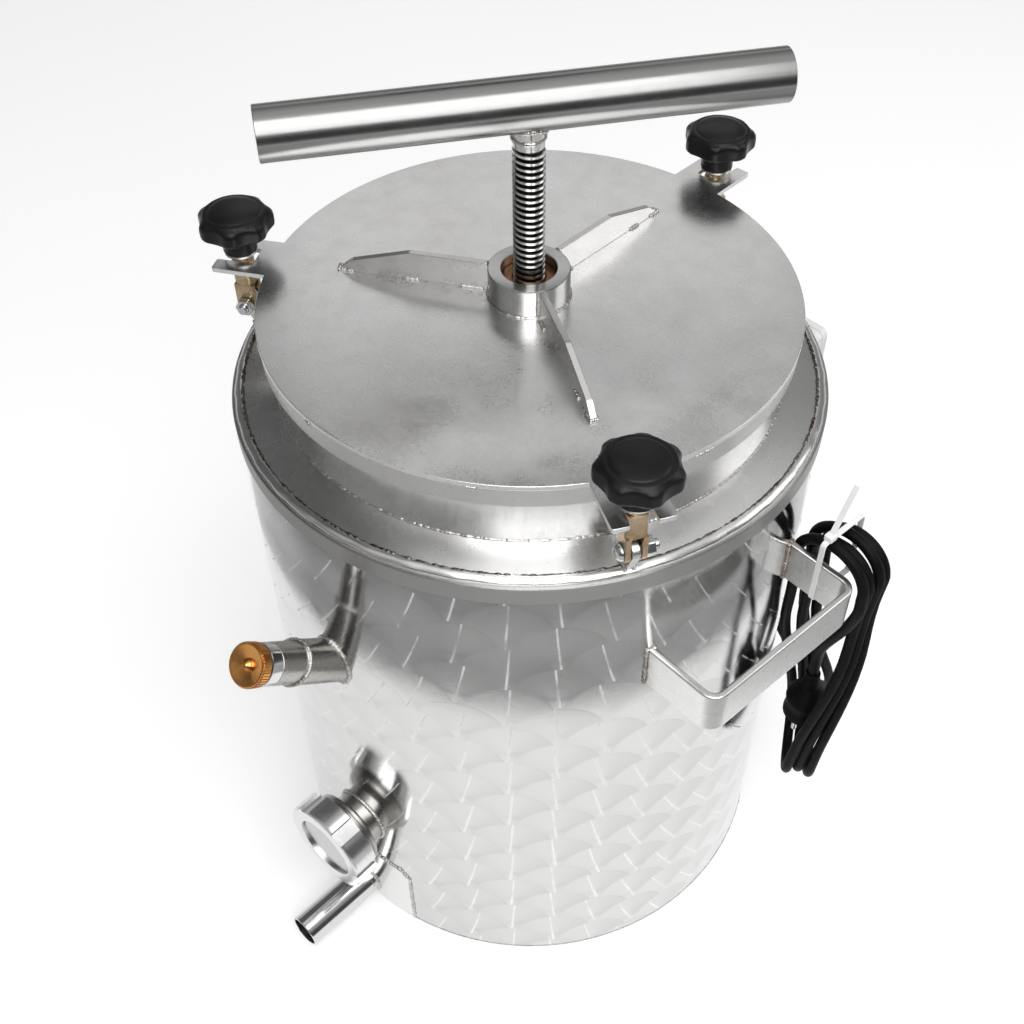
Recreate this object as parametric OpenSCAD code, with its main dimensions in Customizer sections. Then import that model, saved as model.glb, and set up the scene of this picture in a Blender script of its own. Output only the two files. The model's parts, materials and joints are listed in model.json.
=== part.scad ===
// Wax melter with a screw press in its lid: a double-walled vessel, a clamped lid and a T-bar spindle.
// Z is up, the origin is on the vessel's axis at floor level, and the wax outlet points to -Y.
// Angles around the vessel are counted from -Y, anticlockwise seen from above.

/* [Vessel] */
// Outer diameter of the shell
shell_d = 470; // [460:1:480]
// Height of the shell's top edge
shell_h = 547; // [540:1:550]
// Thickness of the shell and tank sheet
sheet_t = 2; // [1.5:0.5:3]
// Outer diameter of the inner tank and its neck
tank_d = 400; // [396:1:402]
// Height of the tank's rim
tank_rim_z = 608; // [600:1:608]
// Height of the underside of the tank floor
tank_floor_z = 116; // [100:1:118]
// Rise of the shoulder from the shell's edge to the neck
shoulder_rise = 7; // [4:1:8]
// Radius of the weld bead round the shell's top edge
bead_r = 3.2; // [2:0.1:3.5]
// Height of the hoop band under the bead
band_h = 16; // [10:1:20]

/* [Lid] */
// Diameter of the lid plate
lid_d = 416; // [414:1:418]
// Thickness of the lid plate
lid_t = 4; // [3:0.5:5]
// Height of the lid's top face
lid_z = 617; // [617:0.5:618]
// Height of the skirt under the plate
skirt_h = 16; // [10:1:20]
// Radius to the outer ends of the ears
ear_end_r = 251; // [248:0.5:252]
// Width of an ear
ear_w = 45; // [40:1:50]
// Width of the slot in an ear
ear_slot_w = 19; // [18:0.5:20]
// Outer diameter of the hub on the lid
hub_d = 63; // [56:1:70]
// Height of the hub and of the ribs at the hub
hub_h = 24; // [20:1:25]
// Reach of a rib from the axis
rib_end_r = 152; // [140:1:180]
// Thickness of a rib
rib_t = 5; // [4:0.5:8]

/* [Press] */
// Outer diameter of the trapezoidal thread
screw_d = 24; // [22:1:26]
// Pitch of the thread
screw_pitch = 5; // [4:0.5:6]
// Outer diameter of the T-bar tube
tbar_d = 38; // [33:1:42]
// Length of the T-bar
tbar_l = 366; // [300:2:420]
// Height of the T-bar's axis
tbar_z = 774; // [774:1:790]
// Direction of the T-bar
tbar_az = 144; // [0:1:180]
// Diameter of the press plate
press_d = 340; // [300:2:344]
// Height of the press plate's underside
press_z = 470; // [465:1:475]

/* [Clamps] */
// Direction of the first clamp
clamp_az = 59; // [57:1:60]
// Radius to the studs and pivots
stud_r = 234; // [233:0.5:235]
// Height of the pivots
pivot_z = 574; // [573:0.5:576]
// Diameter of the lobed knobs
knob_d = 60; // [50:1:64]
// Number of scallops round a knob
knob_scallops = 7; // [5:1:9]
// Gap left under a slackened clamp
clamp_gap = 3.5; // [3.5:0.5:5]

/* [Handles] */
// Direction of the handle on the right
handle_az = 84; // [80:1:88]
// Width of the handle bar, which stands upright
handle_w = 40; // [30:1:45]
// Thickness of the handle bar
handle_t = 6; // [4:0.5:8]
// Width of a handle over its arms
handle_span = 164; // [150:2:164]
// Radius to the outer face of a handle
handle_out = 287; // [280:1:300]
// Height of the middle of the handles
handle_z = 438; // [436:1:440]

/* [Outlets] */
// Height of the wax outlet's axis
outlet_z = 147.5; // [146:0.5:160]
// Outer diameter of the wax outlet's tube
outlet_d = 53; // [50:1:54]
// Radius to the face of the union nut
outlet_face_r = 282; // [282:1:290]
// Outer diameter of the union nut
union_d = 92; // [88:1:96]
// Outer diameter of the drain spout
spout_d = 33.7; // [30:0.1:34]
// Height of the drain spout's axis
spout_z = 18.5; // [18.5:0.5:24]
// Direction of the drain spout
spout_az = -2; // [-6:1:4]
// Radius to the spout's open end
spout_end_r = 319; // [300:1:330]
// Height at which the filler pipe's axis meets the shell
filler_z = 387; // [370:1:400]
// Tilt of the filler pipe above level
filler_tilt = 42; // [35:1:50]
// Length of the filler from the shell to the face of its cap
filler_l = 102; // [95:1:115]

/* [Control box] */
// Direction of the control box
box_az = 174; // [170:1:180]
// Width of the control box
box_w = 128; // [120:1:136]
// Height of the control box
box_h = 170; // [165:1:180]
// Height of the top of the box
box_top_z = 446; // [446:1:450]
// Radius to the face of the box
box_face_r = 326; // [322:1:330]

/* [Cord] */
// Diameter of the power cord
cord_d = 9.2; // [8:0.1:9.2]
// Step between neighbouring loops of the hank
hank_step = 10.2; // [10.2:0.1:10.6]
// Half width of the innermost loop
hank_half_w = 27; // [26.5:0.5:27.5]
// Half length of the straight runs of the hank
hank_run = 116; // [100:1:116]
// How far the loops are drawn in at the waist
hank_waist = 4; // [0:0.5:5]
// Turn of the hanging loops about their own middle
hank_twist = 55; // [0:5:55]

/* [Hidden] */
$fn = 96;

shell_r = shell_d / 2;
shell_in = shell_r - sheet_t;
tank_r = tank_d / 2;
tank_in = tank_r - sheet_t;
weld_gap = 0.05;
base_t = 3;

// Shoulder: its outer edge sits on the shell, its inner edge meets the neck
shoulder_out_z = shell_h + sheet_t;
shoulder_in_z = shoulder_out_z + shoulder_rise;
bead_at_r = shell_r - 4.5;

// Lid
lid_under_z = lid_z - lid_t;
hub_r = hub_d / 2;
hub_bore_r = 21.2;
hub_top_z = lid_z + hub_h;
skirt_out_r = lid_d / 2 - 1;
slot_in_r = stud_r - 13;

// Press: the spindle turns in the nut and carries the plate on a captive foot
screw_r = screw_d / 2;
screw_root_r = screw_r - screw_pitch / 2;
plate_t = 5;
boss_r = 24;
boss_floor_z = press_z + plate_t + 8.6;
boss_top_z = press_z + plate_t + 18;
cover_t = 6;
foot_r = 14;
journal_r = 8;
thread_from_z = boss_top_z + cover_t + 8;
thread_turns = floor((tbar_z - thread_from_z) / screw_pitch) - 1;
nut_r = 21;
nut_flange_r = 30;
nut_bottom_z = lid_under_z - 8;

// Clamps
clamp_names = ["right", "rear", "left"];
bolt_r = 4;
lug_t = 6;
fork_half = 8;
fork_slot = 8;
fork_top_z = lid_z - 3.5;
washer_t = 2;
washer_z = lid_z + clamp_gap;
neck_r = 13.5;
neck_h = 17.5;
disc_h = 15;
knob_z = washer_z + washer_t + 0.05;
stud_len = 30;

// Handles
handle_round = 14;

// Wax outlet and union, lengths along the outlet from the axis
liner_r = 36.9;
gasket_from = outlet_face_r - 13.9;
plug_from = outlet_face_r - 10.9;

// Filler, lengths along its axis from the shell
filler_r = 16.85;
sleeve_r = 18;
sleeve_l = 50;
collar_from = filler_l - 23;
cap_from = filler_l - 9.7;

// Control box
box_bottom_z = box_top_z - box_h;
box_back_r = shell_r + 15;
cover_back_r = box_face_r - 8;
box_wall = 3;
knob_at_z = box_top_z - 50;
switch_at = [24, box_top_z - 118];
lamp_at = [-30, box_top_z - 118];
rocker_pin_r = 1.6;
gland_r = 284;
gland_l = 30;

// Heating element in the water jacket
element_r = 4.25;
element_ring_r = 216;
element_z = 60;
element_gap = 8;
terminal_z = box_bottom_z + 54;

// Basket
basket_r = 176;
basket_z = 150;

// Power cord, in the frame of the right handle: along the wall, outwards as -Y, and up
cord_r = cord_d / 2;
cord_route = [
    [284, 0, 246], [284, 0, 232], [284, -2, 214], [282, -10, 194], [276, -30, 174], [264, -62, 160],
    [248, -98, 154], [228, -134, 156], [206, -170, 164], [188, -202, 176]
];
// The cord's way into the hank, within its plane, across its layers, and up
hank_way_in = [
    [-72, 16, 192], [-54, 24, 214], [-40, 26, 240], [-32, 23, 266], [-28, 18, 290]
];
hank_u = 257;
hank_t = 102.4;
hank_z = 322;
hank_layers = 4;
layer_step = 10;
twist_from_z = 412;
twist_to_z = 190;
loop_rings = 24;
fold_rings = 8;
run_rings = 4;
hank_last_ring = 82;
drop_rings = 5;
plug_u = hank_u;
plug_t = hank_t;
plug_top_z = 300;
tie_u = 252;

module at_az(az) {
    rotate([0, 0, az]) children();
}

// A level axis pointing outwards at height z, with lengths counted from the vessel's axis
module outward(z) {
    translate([0, 0, z]) rotate([90, 0, 0]) children();
}

// A plate in a plane through the vessel's axis, drawn as radius against height
module radial_plate(t) {
    rotate([90, 0, -90]) linear_extrude(t, center = true) children();
}

// The tilted axis of the filler, with lengths counted from the shell
module along_filler() {
    translate([0, -shell_r, filler_z]) rotate([90 - filler_tilt, 0, 0]) children();
}

module at_clamp(i) {
    at_az(clamp_az + 120 * i) translate([0, -stud_r, 0]) children();
}

module tube(r, bore, h) {
    difference() {
        cylinder(h = h, r = r);
        translate([0, 0, -1]) cylinder(h = h + 2, r = bore);
    }
}

// Vessel

module outer_shell() {
    color("silver") difference() {
        tube(shell_r, shell_in, shell_h);
        outward(outlet_z) cylinder(h = shell_r + 10, r = outlet_d / 2 + weld_gap);
        along_filler() translate([0, 0, -60]) cylinder(h = 120, r = sleeve_r + weld_gap);
        spout_window(weld_gap);
        at_az(box_az) terminal_holes();
    }
}

// The opening in the shell that the inset plate round the drain spout fills
module spout_window(gap) {
    half_w = 60 + gap;
    top = 89 + gap;
    corner = 10;
    at_az(spout_az) outward(0) translate([0, 0, shell_r - 40]) linear_extrude(60)
        polygon([[-half_w, -1], [half_w, -1], [half_w, top - corner], [half_w - corner, top],
                 [corner - half_w, top], [-half_w, top - corner]]);
}

module terminal_holes() {
    for (side = [-1, 1])
        translate([side * element_end_x(), 0, 0]) outward(terminal_z)
            translate([0, 0, shell_r - 30]) cylinder(h = 60, r = element_r + weld_gap);
    outward(knob_at_z + 20) translate([0, 0, shell_r - 30]) cylinder(h = 60, r = 5 + weld_gap);
}

module base_plate() {
    color("silver") cylinder(h = base_t, r = shell_in);
}

module shoulder_solid() {
    rotate_extrude() polygon([[tank_r, shoulder_in_z], [shell_r, shoulder_out_z], [shell_r, shell_h],
                              [shell_in, shell_h], [tank_r, shoulder_in_z - sheet_t]]);
    rotate_extrude() translate([bead_at_r, shoulder_out_z + 0.9]) circle(r = bead_r);
}

module shoulder_ring() {
    color("gray") shoulder_solid();
}

module rim_band() {
    color("silver") translate([0, 0, shell_h - band_h]) tube(shell_r + 1.5, shell_r, band_h);
}

module inner_tank() {
    color("lightgray") difference() {
        rotate_extrude() polygon([[0, tank_floor_z], [tank_r, tank_floor_z], [tank_r, tank_rim_z],
                                  [tank_in, tank_rim_z], [tank_in, tank_floor_z + 3], [0, tank_floor_z + 3]]);
        outward(outlet_z) cylinder(h = shell_r, r = outlet_d / 2 + weld_gap);
    }
}

module clamp_lugs() {
    head_r = 9;
    color("silver") difference() {
        for (i = [0:2]) at_az(clamp_az + 120 * i) {
            radial_plate(lug_t)
                polygon([[bead_at_r - 16, shoulder_out_z + 2], [bead_at_r, shoulder_out_z + 2],
                         [stud_r + head_r, pivot_z], [stud_r - head_r, pivot_z]]);
            translate([-lug_t / 2, -stud_r, pivot_z]) rotate([0, 90, 0]) cylinder(h = lug_t, r = head_r);
        }
        shoulder_solid();
        for (i = [0:2]) at_clamp(i) translate([-lug_t, 0, pivot_z])
            rotate([0, 90, 0]) cylinder(h = 2 * lug_t, r = bolt_r + 0.02);
    }
}

module pivot_bolts() {
    head_x = fork_half + 0.4;
    color("gainsboro") for (i = [0:2]) at_clamp(i) translate([0, 0, pivot_z]) {
        translate([-head_x - 1, 0, 0]) rotate([0, 90, 0]) cylinder(h = 2 * head_x + 10, r = bolt_r);
        difference() {
            translate([-head_x, 0, 0]) sphere(r = 6.8);
            translate([-head_x, -10, -10]) cube(20);
        }
        difference() {
            translate([head_x, 0, 0]) rotate([0, 90, 0]) cylinder(h = 6.5, r = 7.5, $fn = 6);
            translate([head_x - 1, 0, 0]) rotate([0, 90, 0]) cylinder(h = 9, r = bolt_r + 0.02);
        }
    }
}

// Handles: a flat bar bent to a U, its ends cut to the shell

module rounded_front(w, front, r) {
    translate([-w / 2, -front + r]) square([w, front - r - 150]);
    translate([-w / 2 + r, -front]) square([w - 2 * r, 2 * r]);
    for (side = [-1, 1]) translate([side * (w / 2 - r), -front + r]) circle(r = r);
}

module handle(az) {
    color("silver") at_az(az) difference() {
        translate([0, 0, handle_z - handle_w / 2]) linear_extrude(handle_w) difference() {
            rounded_front(handle_span, handle_out, handle_round);
            rounded_front(handle_span - 2 * handle_t, handle_out - handle_t, handle_round - handle_t);
        }
        cylinder(h = shell_h, r = shell_r);
    }
}

module handle_right() {
    handle(handle_az);
}

module handle_left() {
    handle(handle_az + 180);
}

// Filler

module filler_pipe() {
    color("dimgray") difference() {
        along_filler() union() {
            translate([0, 0, -50]) cylinder(h = sleeve_l + 50, r = sleeve_r);
            cylinder(h = collar_from, r = filler_r);
        }
        along_filler() translate([0, 0, -60]) cylinder(h = filler_l + 60, r = 14.5);
        cylinder(h = shell_h, r = shell_in);
    }
}

module filler_collar() {
    color("slategray") along_filler() translate([0, 0, collar_from]) tube(17, 13.2, 11.5);
}

module cap_seal() {
    color("firebrick") along_filler() translate([0, 0, cap_from - 1.7]) tube(16.4, 12.9, 1.6);
}

module valve_cap() {
    color("goldenrod") along_filler() rotate_extrude() polygon([
        [0, collar_from + 1], [12.5, collar_from + 1], [12.5, cap_from], [17.2, cap_from],
        [17.2, filler_l - 0.6], [16.6, filler_l], [15.2, filler_l], [5, filler_l - 2.6],
        [4, filler_l - 2.6], [4, filler_l - 0.8], [0, filler_l + 2]]);
}

// Wax outlet with its union

module outlet_stub() {
    r = outlet_d / 2;
    bore = r - 1.5;
    color("gainsboro") outward(outlet_z) rotate_extrude() polygon([
        [bore, tank_in + 0.3], [r, tank_in + 0.3], [r, gasket_from - 22], [liner_r, gasket_from - 18],
        [liner_r, gasket_from - 0.1], [bore, gasket_from - 0.1]]);
}

module union_gasket() {
    color("white") outward(outlet_z) translate([0, 0, gasket_from]) tube(34, outlet_d / 2 - 1, 2.9);
}

module blind_plug() {
    color("gainsboro") outward(outlet_z) rotate_extrude() polygon([
        [0, plug_from], [36.5, plug_from], [36.5, plug_from + 5.9], [30.5, plug_from + 6.2],
        [30.5, plug_from + 7.9], [0, plug_from + 7.9]]);
}

module union_nut() {
    r = union_d / 2;
    slots = 6;
    color("gainsboro") difference() {
        outward(outlet_z) rotate_extrude() polygon([
            [37.3, outlet_face_r - 24], [r - 1, outlet_face_r - 24], [r, outlet_face_r - 23],
            [r, outlet_face_r - 1.5], [r - 1.5, outlet_face_r], [31, outlet_face_r],
            [31, outlet_face_r - 4.6], [37.3, outlet_face_r - 4.6]]);
        for (k = [0:slots - 1]) outward(outlet_z) rotate([0, 0, 360 / slots * (k + 0.5)])
            translate([r - 4, -7, outlet_face_r - 30]) cube([10, 14, 40]);
    }
}

module drain_spout() {
    r = spout_d / 2;
    color("gainsboro") at_az(spout_az) outward(spout_z) difference() {
        union() {
            translate([0, 0, shell_in + 0.2]) cylinder(h = spout_end_r - shell_in - 0.2, r = r);
            translate([0, 0, shell_r + 0.8]) cylinder(h = 4.2, r1 = r + 2.2, r2 = r + 0.5);
        }
        translate([0, 0, shell_in - 1]) cylinder(h = spout_end_r, r = r - 2);
    }
}

module spout_plate() {
    color("silver") difference() {
        intersection() {
            tube(shell_r + 0.4, shell_in, 100);
            spout_window(-weld_gap);
        }
        at_az(spout_az) outward(spout_z) translate([0, 0, shell_in - 20])
            cylinder(h = 40, r = spout_d / 2 + weld_gap);
        translate([0, 0, -2]) cylinder(h = 2, r = shell_r + 5);
    }
}

// Control box with its heater and thermostat

module box_block(x, from_r, to_r, from_z, to_z) {
    translate([-x, -to_r, from_z]) cube([2 * x, to_r - from_r, to_z - from_z]);
}

module box_bracket() {
    color("silver") at_az(box_az) difference() {
        for (side = [-1, 1]) translate([side * 46, 0, 0])
            box_block(2, shell_r - 20, box_back_r, box_bottom_z + 20, box_top_z - 20);
        cylinder(h = shell_h, r = shell_r);
    }
}

module control_box() {
    color("whitesmoke") at_az(box_az) difference() {
        box_block(box_w / 2, box_back_r, cover_back_r, box_bottom_z, box_top_z);
        box_block(box_w / 2 - box_wall, box_back_r + box_wall, cover_back_r + 1,
                  box_bottom_z + box_wall, box_top_z - box_wall);
        terminal_holes();
    }
}

module box_cover() {
    color("whitesmoke") at_az(box_az) difference() {
        box_block(box_w / 2, cover_back_r, box_face_r, box_bottom_z, box_top_z);
        outward(knob_at_z) translate([0, 0, cover_back_r - 1]) cylinder(h = 20, r = 3.3);
        translate([switch_at[0], 0, 0])
            box_block(10.6, cover_back_r - 1, box_face_r + 1, switch_at[1] - 14.1, switch_at[1] + 14.1);
        translate([lamp_at[0], 0, 0]) outward(lamp_at[1])
            translate([0, 0, cover_back_r - 1]) cylinder(h = 20, r = 6.05);
    }
}

module box_screws() {
    color("lightgray") at_az(box_az) for (x = [-1, 1], z = [box_bottom_z + 10, box_top_z - 10])
        translate([x * (box_w / 2 - 10), 0, 0]) outward(z) translate([0, 0, box_face_r]) difference() {
            cylinder(h = 2.2, r = 4);
            translate([-0.6, -5, 1.2]) cube([1.2, 10, 2]);
        }
}

module thermostat_body() {
    color("dimgray") at_az(box_az) {
        box_block(22, cover_back_r - 32, cover_back_r - 0.2, knob_at_z - 22, knob_at_z + 22);
        outward(knob_at_z) translate([0, 0, cover_back_r - 1]) cylinder(h = 20, r = 3);
    }
}

module thermostat_probe() {
    color("silver") at_az(box_az) outward(knob_at_z + 20)
        translate([0, 0, tank_r + 4]) cylinder(h = box_back_r + 8 - tank_r, r = 5);
}

module thermostat_knob() {
    color("black") at_az(box_az) outward(knob_at_z) translate([0, 0, box_face_r + 0.6]) difference() {
        union() {
            cylinder(h = 3, r = 21);
            cylinder(h = 15, r = 17);
            translate([-2.2, 0, 3]) cube([4.4, 19, 12]);
        }
        translate([0, 0, -1]) cylinder(h = 13.5, r = 3.06);
    }
}

module switch_frame() {
    color("black") at_az(box_az) translate([switch_at[0], 0, 0]) difference() {
        union() {
            box_block(10.5, cover_back_r - 6, box_face_r, switch_at[1] - 14, switch_at[1] + 14);
            box_block(13, box_face_r, box_face_r + 2, switch_at[1] - 17, switch_at[1] + 17);
        }
        box_block(8, cover_back_r, box_face_r + 3, switch_at[1] - 11.5, switch_at[1] + 11.5);
        translate([-9.2, 1 - box_face_r, switch_at[1]]) rotate([0, 90, 0])
            cylinder(h = 18.4, r = rocker_pin_r + 0.05);
    }
}

module rocker_switch() {
    pivot_r = box_face_r - 1;
    color("firebrick") at_az(box_az) translate([switch_at[0], -pivot_r, switch_at[1]]) {
        translate([-7.6, 0, 0]) rotate([90, 0, 90]) linear_extrude(15.2)
            polygon([[4.5, -9.4], [-5.2, -9.9], [-2.6, 0], [-2.6, 10.2], [4.5, 9]]);
        translate([-8.8, 0, 0]) rotate([0, 90, 0]) cylinder(h = 17.6, r = rocker_pin_r);
    }
}

module pilot_lamp() {
    color("orange") at_az(box_az) translate([lamp_at[0], 0, 0]) outward(lamp_at[1]) {
        translate([0, 0, cover_back_r - 14]) cylinder(h = 22, r = 6);
        translate([0, 0, box_face_r]) cylinder(h = 2.5, r = 7.5);
        translate([0, 0, box_face_r + 2]) cylinder(h = 3, r = 5.5);
    }
}

module cable_gland() {
    color("black") at_az(box_az) translate([0, -gland_r, box_bottom_z - gland_l]) rotate_extrude() polygon([
        [0, 0], [6.5, 0], [9.5, 8], [9.5, 14], [11.5, 14], [11.5, gland_l], [0, gland_l]]);
}

function element_end_x() = element_ring_r * sin(element_gap);

module heating_element() {
    end_y = -element_ring_r * cos(element_gap);
    color("saddlebrown") at_az(box_az) {
        rotate([0, 0, element_gap - 90]) rotate_extrude(angle = 360 - 2 * element_gap)
            translate([element_ring_r, element_z]) circle(r = element_r);
        for (side = [-1, 1]) translate([side * element_end_x(), end_y, 0]) {
            translate([0, 0, element_z]) sphere(r = element_r + 0.1);
            translate([0, 0, element_z]) cylinder(h = terminal_z - element_z, r = element_r);
            translate([0, 0, terminal_z]) sphere(r = element_r + 0.1);
            translate([0, 0, terminal_z]) rotate([90, 0, 0])
                cylinder(h = box_back_r + 12 + end_y, r = element_r);
        }
    }
}

// Basket that holds the comb under the press

module basket() {
    wall = 1.5;
    top_z = 585;
    slot_w = 6;
    color("silver") difference() {
        translate([0, 0, basket_z]) cylinder(h = top_z - basket_z, r = basket_r);
        translate([0, 0, basket_z + 2]) cylinder(h = top_z, r = basket_r - wall);
        for (k = [0:7]) rotate([0, 0, 22.5 * k])
            translate([-slot_w / 2, -basket_r - 1, 200]) cube([slot_w, 2 * basket_r + 2, 340]);
        for (k = [0:11]) rotate([0, 0, 30 * k + 11])
            translate([0, -110, basket_z - 1]) cylinder(h = 4, r = 8);
    }
}

module basket_stand() {
    gate_w = 60;
    gate_h = 18;
    color("silver") translate([0, 0, tank_floor_z + 3]) difference() {
        tube(160, 150, basket_z - tank_floor_z - 3);
        for (k = [0:1]) rotate([0, 0, 90 * k])
            translate([-gate_w / 2, -200, -1]) cube([gate_w, 400, gate_h + 1]);
    }
}

// Lid

module lid_plate() {
    color("gray") translate([0, 0, lid_under_z]) difference() {
        union() {
            cylinder(h = lid_t, r = lid_d / 2);
            for (i = [0:2]) at_az(clamp_az + 120 * i)
                translate([-ear_w / 2, -ear_end_r, 0]) cube([ear_w, 70, lid_t]);
        }
        for (i = [0:2]) at_az(clamp_az + 120 * i)
            translate([-ear_slot_w / 2, -ear_end_r - 5, -1])
                cube([ear_slot_w, ear_end_r + 5 - slot_in_r, lid_t + 2]);
        translate([0, 0, -1]) cylinder(h = lid_t + 2, r = hub_bore_r);
    }
}

module lid_skirt() {
    color("lightgray") translate([0, 0, lid_under_z - skirt_h]) tube(skirt_out_r, skirt_out_r - 3, skirt_h);
}

module lid_seal() {
    color("white") translate([0, 0, tank_rim_z + 0.3])
        tube(skirt_out_r - 3.3, tank_in - 3, lid_under_z - tank_rim_z - 0.3);
}

module lid_hub() {
    color("gainsboro") translate([0, 0, lid_z]) tube(hub_r, hub_bore_r, hub_h);
}

module lid_ribs() {
    tip_h = 10;
    color("gainsboro") for (i = [0:2]) at_az(clamp_az + 120 * i) radial_plate(rib_t)
        polygon([[hub_r + 0.1, lid_z], [rib_end_r, lid_z], [rib_end_r - 11, lid_z + tip_h],
                 [93, hub_top_z], [hub_r + 0.1, hub_top_z]]);
}

module spindle_nut() {
    color("peru") difference() {
        union() {
            translate([0, 0, nut_bottom_z]) cylinder(h = lid_under_z - nut_bottom_z, r = nut_flange_r);
            translate([0, 0, nut_bottom_z]) cylinder(h = hub_top_z - 8 - nut_bottom_z, r = nut_r);
        }
        translate([0, 0, nut_bottom_z - 1]) cylinder(h = 60, r = screw_r + 0.1);
    }
}

// Press

module press_plate() {
    color("silver") translate([0, 0, press_z]) cylinder(h = plate_t, r = press_d / 2);
}

module press_ribs() {
    color("silver") for (k = [0:3]) at_az(90 * k + 45) radial_plate(5)
        polygon([[boss_r + 0.3, press_z + plate_t], [150, press_z + plate_t], [140, press_z + plate_t + 5],
                 [boss_r + 0.3, press_z + plate_t + 15]]);
}

module press_boss() {
    color("gainsboro") difference() {
        translate([0, 0, press_z + plate_t]) cylinder(h = boss_top_z - press_z - plate_t, r = boss_r);
        translate([0, 0, boss_floor_z]) cylinder(h = 30, r = foot_r + 0.4);
    }
}

module boss_cover() {
    color("gainsboro") translate([0, 0, boss_top_z]) tube(boss_r, journal_r + 0.4, cover_t);
}

module spindle() {
    thread = [for (k = [0:thread_turns - 1], p = [[0, 0], [0, 0.36], [1, 0.5], [1, 0.86]])
        [screw_r - p[0] * (screw_r - screw_root_r), thread_from_z + screw_pitch * (k + p[1])]];
    top_z = thread_from_z + screw_pitch * thread_turns;
    color("gainsboro") difference() {
        rotate_extrude() polygon(concat(
            [[0, boss_floor_z + 0.4], [foot_r, boss_floor_z + 0.4], [foot_r, boss_top_z - 0.4],
             [journal_r, boss_top_z - 0.4], [journal_r, thread_from_z - 2]],
            thread, [[screw_r, top_z], [screw_r, tbar_z], [0, tbar_z]]));
        at_az(tbar_az) outward(tbar_z) cylinder(h = 100, r = tbar_d / 2, center = true);
    }
}

module t_bar() {
    color("silver") at_az(tbar_az) outward(tbar_z) difference() {
        cylinder(h = tbar_l, r = tbar_d / 2, center = true);
        cylinder(h = tbar_l + 2, r = tbar_d / 2 - 2, center = true);
    }
}

module tbar_plugs() {
    plug_l = 8;
    color("dimgray") at_az(tbar_az) for (side = [-1, 1]) outward(tbar_z)
        translate([0, 0, side * (tbar_l - plug_l) / 2])
            cylinder(h = plug_l, r = tbar_d / 2 - 2.05, center = true);
}

// Clamps: a fork swings on a lug, and a lobed knob with its stud screws down through the ear

module clamp_fork(i) {
    color("goldenrod") at_clamp(i) difference() {
        union() {
            translate([-fork_half, 0, pivot_z]) rotate([0, 90, 0]) cylinder(h = 2 * fork_half, r = fork_half);
            translate([-fork_half, -fork_half, pivot_z])
                cube([2 * fork_half, 2 * fork_half, fork_top_z - pivot_z]);
            translate([0, 0, pivot_z]) cylinder(h = fork_top_z + 3 - pivot_z, r = 7);
        }
        translate([-fork_slot / 2, -20, pivot_z - 20]) cube([fork_slot, 40, 38]);
        translate([-20, 0, pivot_z]) rotate([0, 90, 0]) cylinder(h = 40, r = bolt_r + 0.06);
        translate([0, 0, pivot_z + 10]) cylinder(h = 60, r = bolt_r + 0.06);
    }
}

module clamp_washer(i) {
    color("lightgray") at_clamp(i) translate([0, 0, washer_z]) tube(neck_r - 0.5, bolt_r + 0.3, washer_t);
}

module clamp_knob(i) {
    scallop_r = 22;
    scallop_deep = 3.2;
    disc_z = knob_z + neck_h;
    color("black") at_clamp(i) {
        translate([0, 0, knob_z - stud_len]) cylinder(h = stud_len + 5, r = bolt_r);
        translate([0, 0, knob_z]) cylinder(h = neck_h, r = neck_r);
        translate([0, 0, disc_z]) linear_extrude(disc_h) difference() {
            circle(r = knob_d / 2);
            for (k = [0:knob_scallops - 1]) rotate(360 / knob_scallops * k)
                translate([0, knob_d / 2 + scallop_r - scallop_deep]) circle(r = scallop_r);
        }
        translate([0, 0, disc_z + disc_h]) cylinder(h = 1.6, r1 = knob_d / 2 - 4, r2 = knob_d / 2 - 5.5);
        intersection() {
            translate([0, 0, disc_z + disc_h + 4.5 - 60]) sphere(r = 60);
            translate([0, 0, disc_z]) cylinder(h = 40, r = knob_d / 3);
        }
    }
}

module clamp_fork_right() {
    clamp_fork(0);
}

module clamp_fork_rear() {
    clamp_fork(1);
}

module clamp_fork_left() {
    clamp_fork(2);
}

module clamp_washer_right() {
    clamp_washer(0);
}

module clamp_washer_rear() {
    clamp_washer(1);
}

module clamp_washer_left() {
    clamp_washer(2);
}

module clamp_knob_right() {
    clamp_knob(0);
}

module clamp_knob_rear() {
    clamp_knob(1);
}

module clamp_knob_left() {
    clamp_knob(2);
}

// Cord: one tube swept along its route, then wound into a hank tied to the right handle

function unit(v) = v / norm(v);

function tangent(pts, i) =
    unit(pts[min(i + 1, len(pts) - 1)] - pts[max(i - 1, 0)]);

function square_to(v, axis) = unit(v - (v * axis) * axis);

function sweep_ring(pts, guides, i, r, sides) =
    let (dir = tangent(pts, i), side = square_to(guides[i], dir), other = cross(dir, side))
    [for (j = [0:sides - 1]) pts[i] + r * (cos(360 * j / sides) * side + sin(360 * j / sides) * other)];

function wall_faces(i, sides) = [for (j = [0:sides - 1], half = [0, 1])
    let (a = i * sides + j, b = i * sides + (j + 1) % sides)
    half == 0 ? [a, a + sides, b] : [b, a + sides, b + sides]];

function cap_faces(first, sides, flip) = [for (j = [1:sides - 2])
    flip ? [first, first + j + 1, first + j] : [first, first + j, first + j + 1]];

module swept_tube(pts, guides, r, sides) {
    n = len(pts);
    polyhedron(
        points = [for (i = [0:n - 1], p = sweep_ring(pts, guides, i, r, sides)) p],
        faces = concat(
            [for (i = [0:n - 2], f = wall_faces(i, sides)) f],
            cap_faces(0, sides, false),
            cap_faces((n - 1) * sides, sides, true)));
}

function path_length(pts) = len(pts) < 2 ? 0
    : let (steps = [for (i = [1:len(pts) - 1]) norm(pts[i] - pts[i - 1])]) steps * [for (s = steps) 1];

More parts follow.
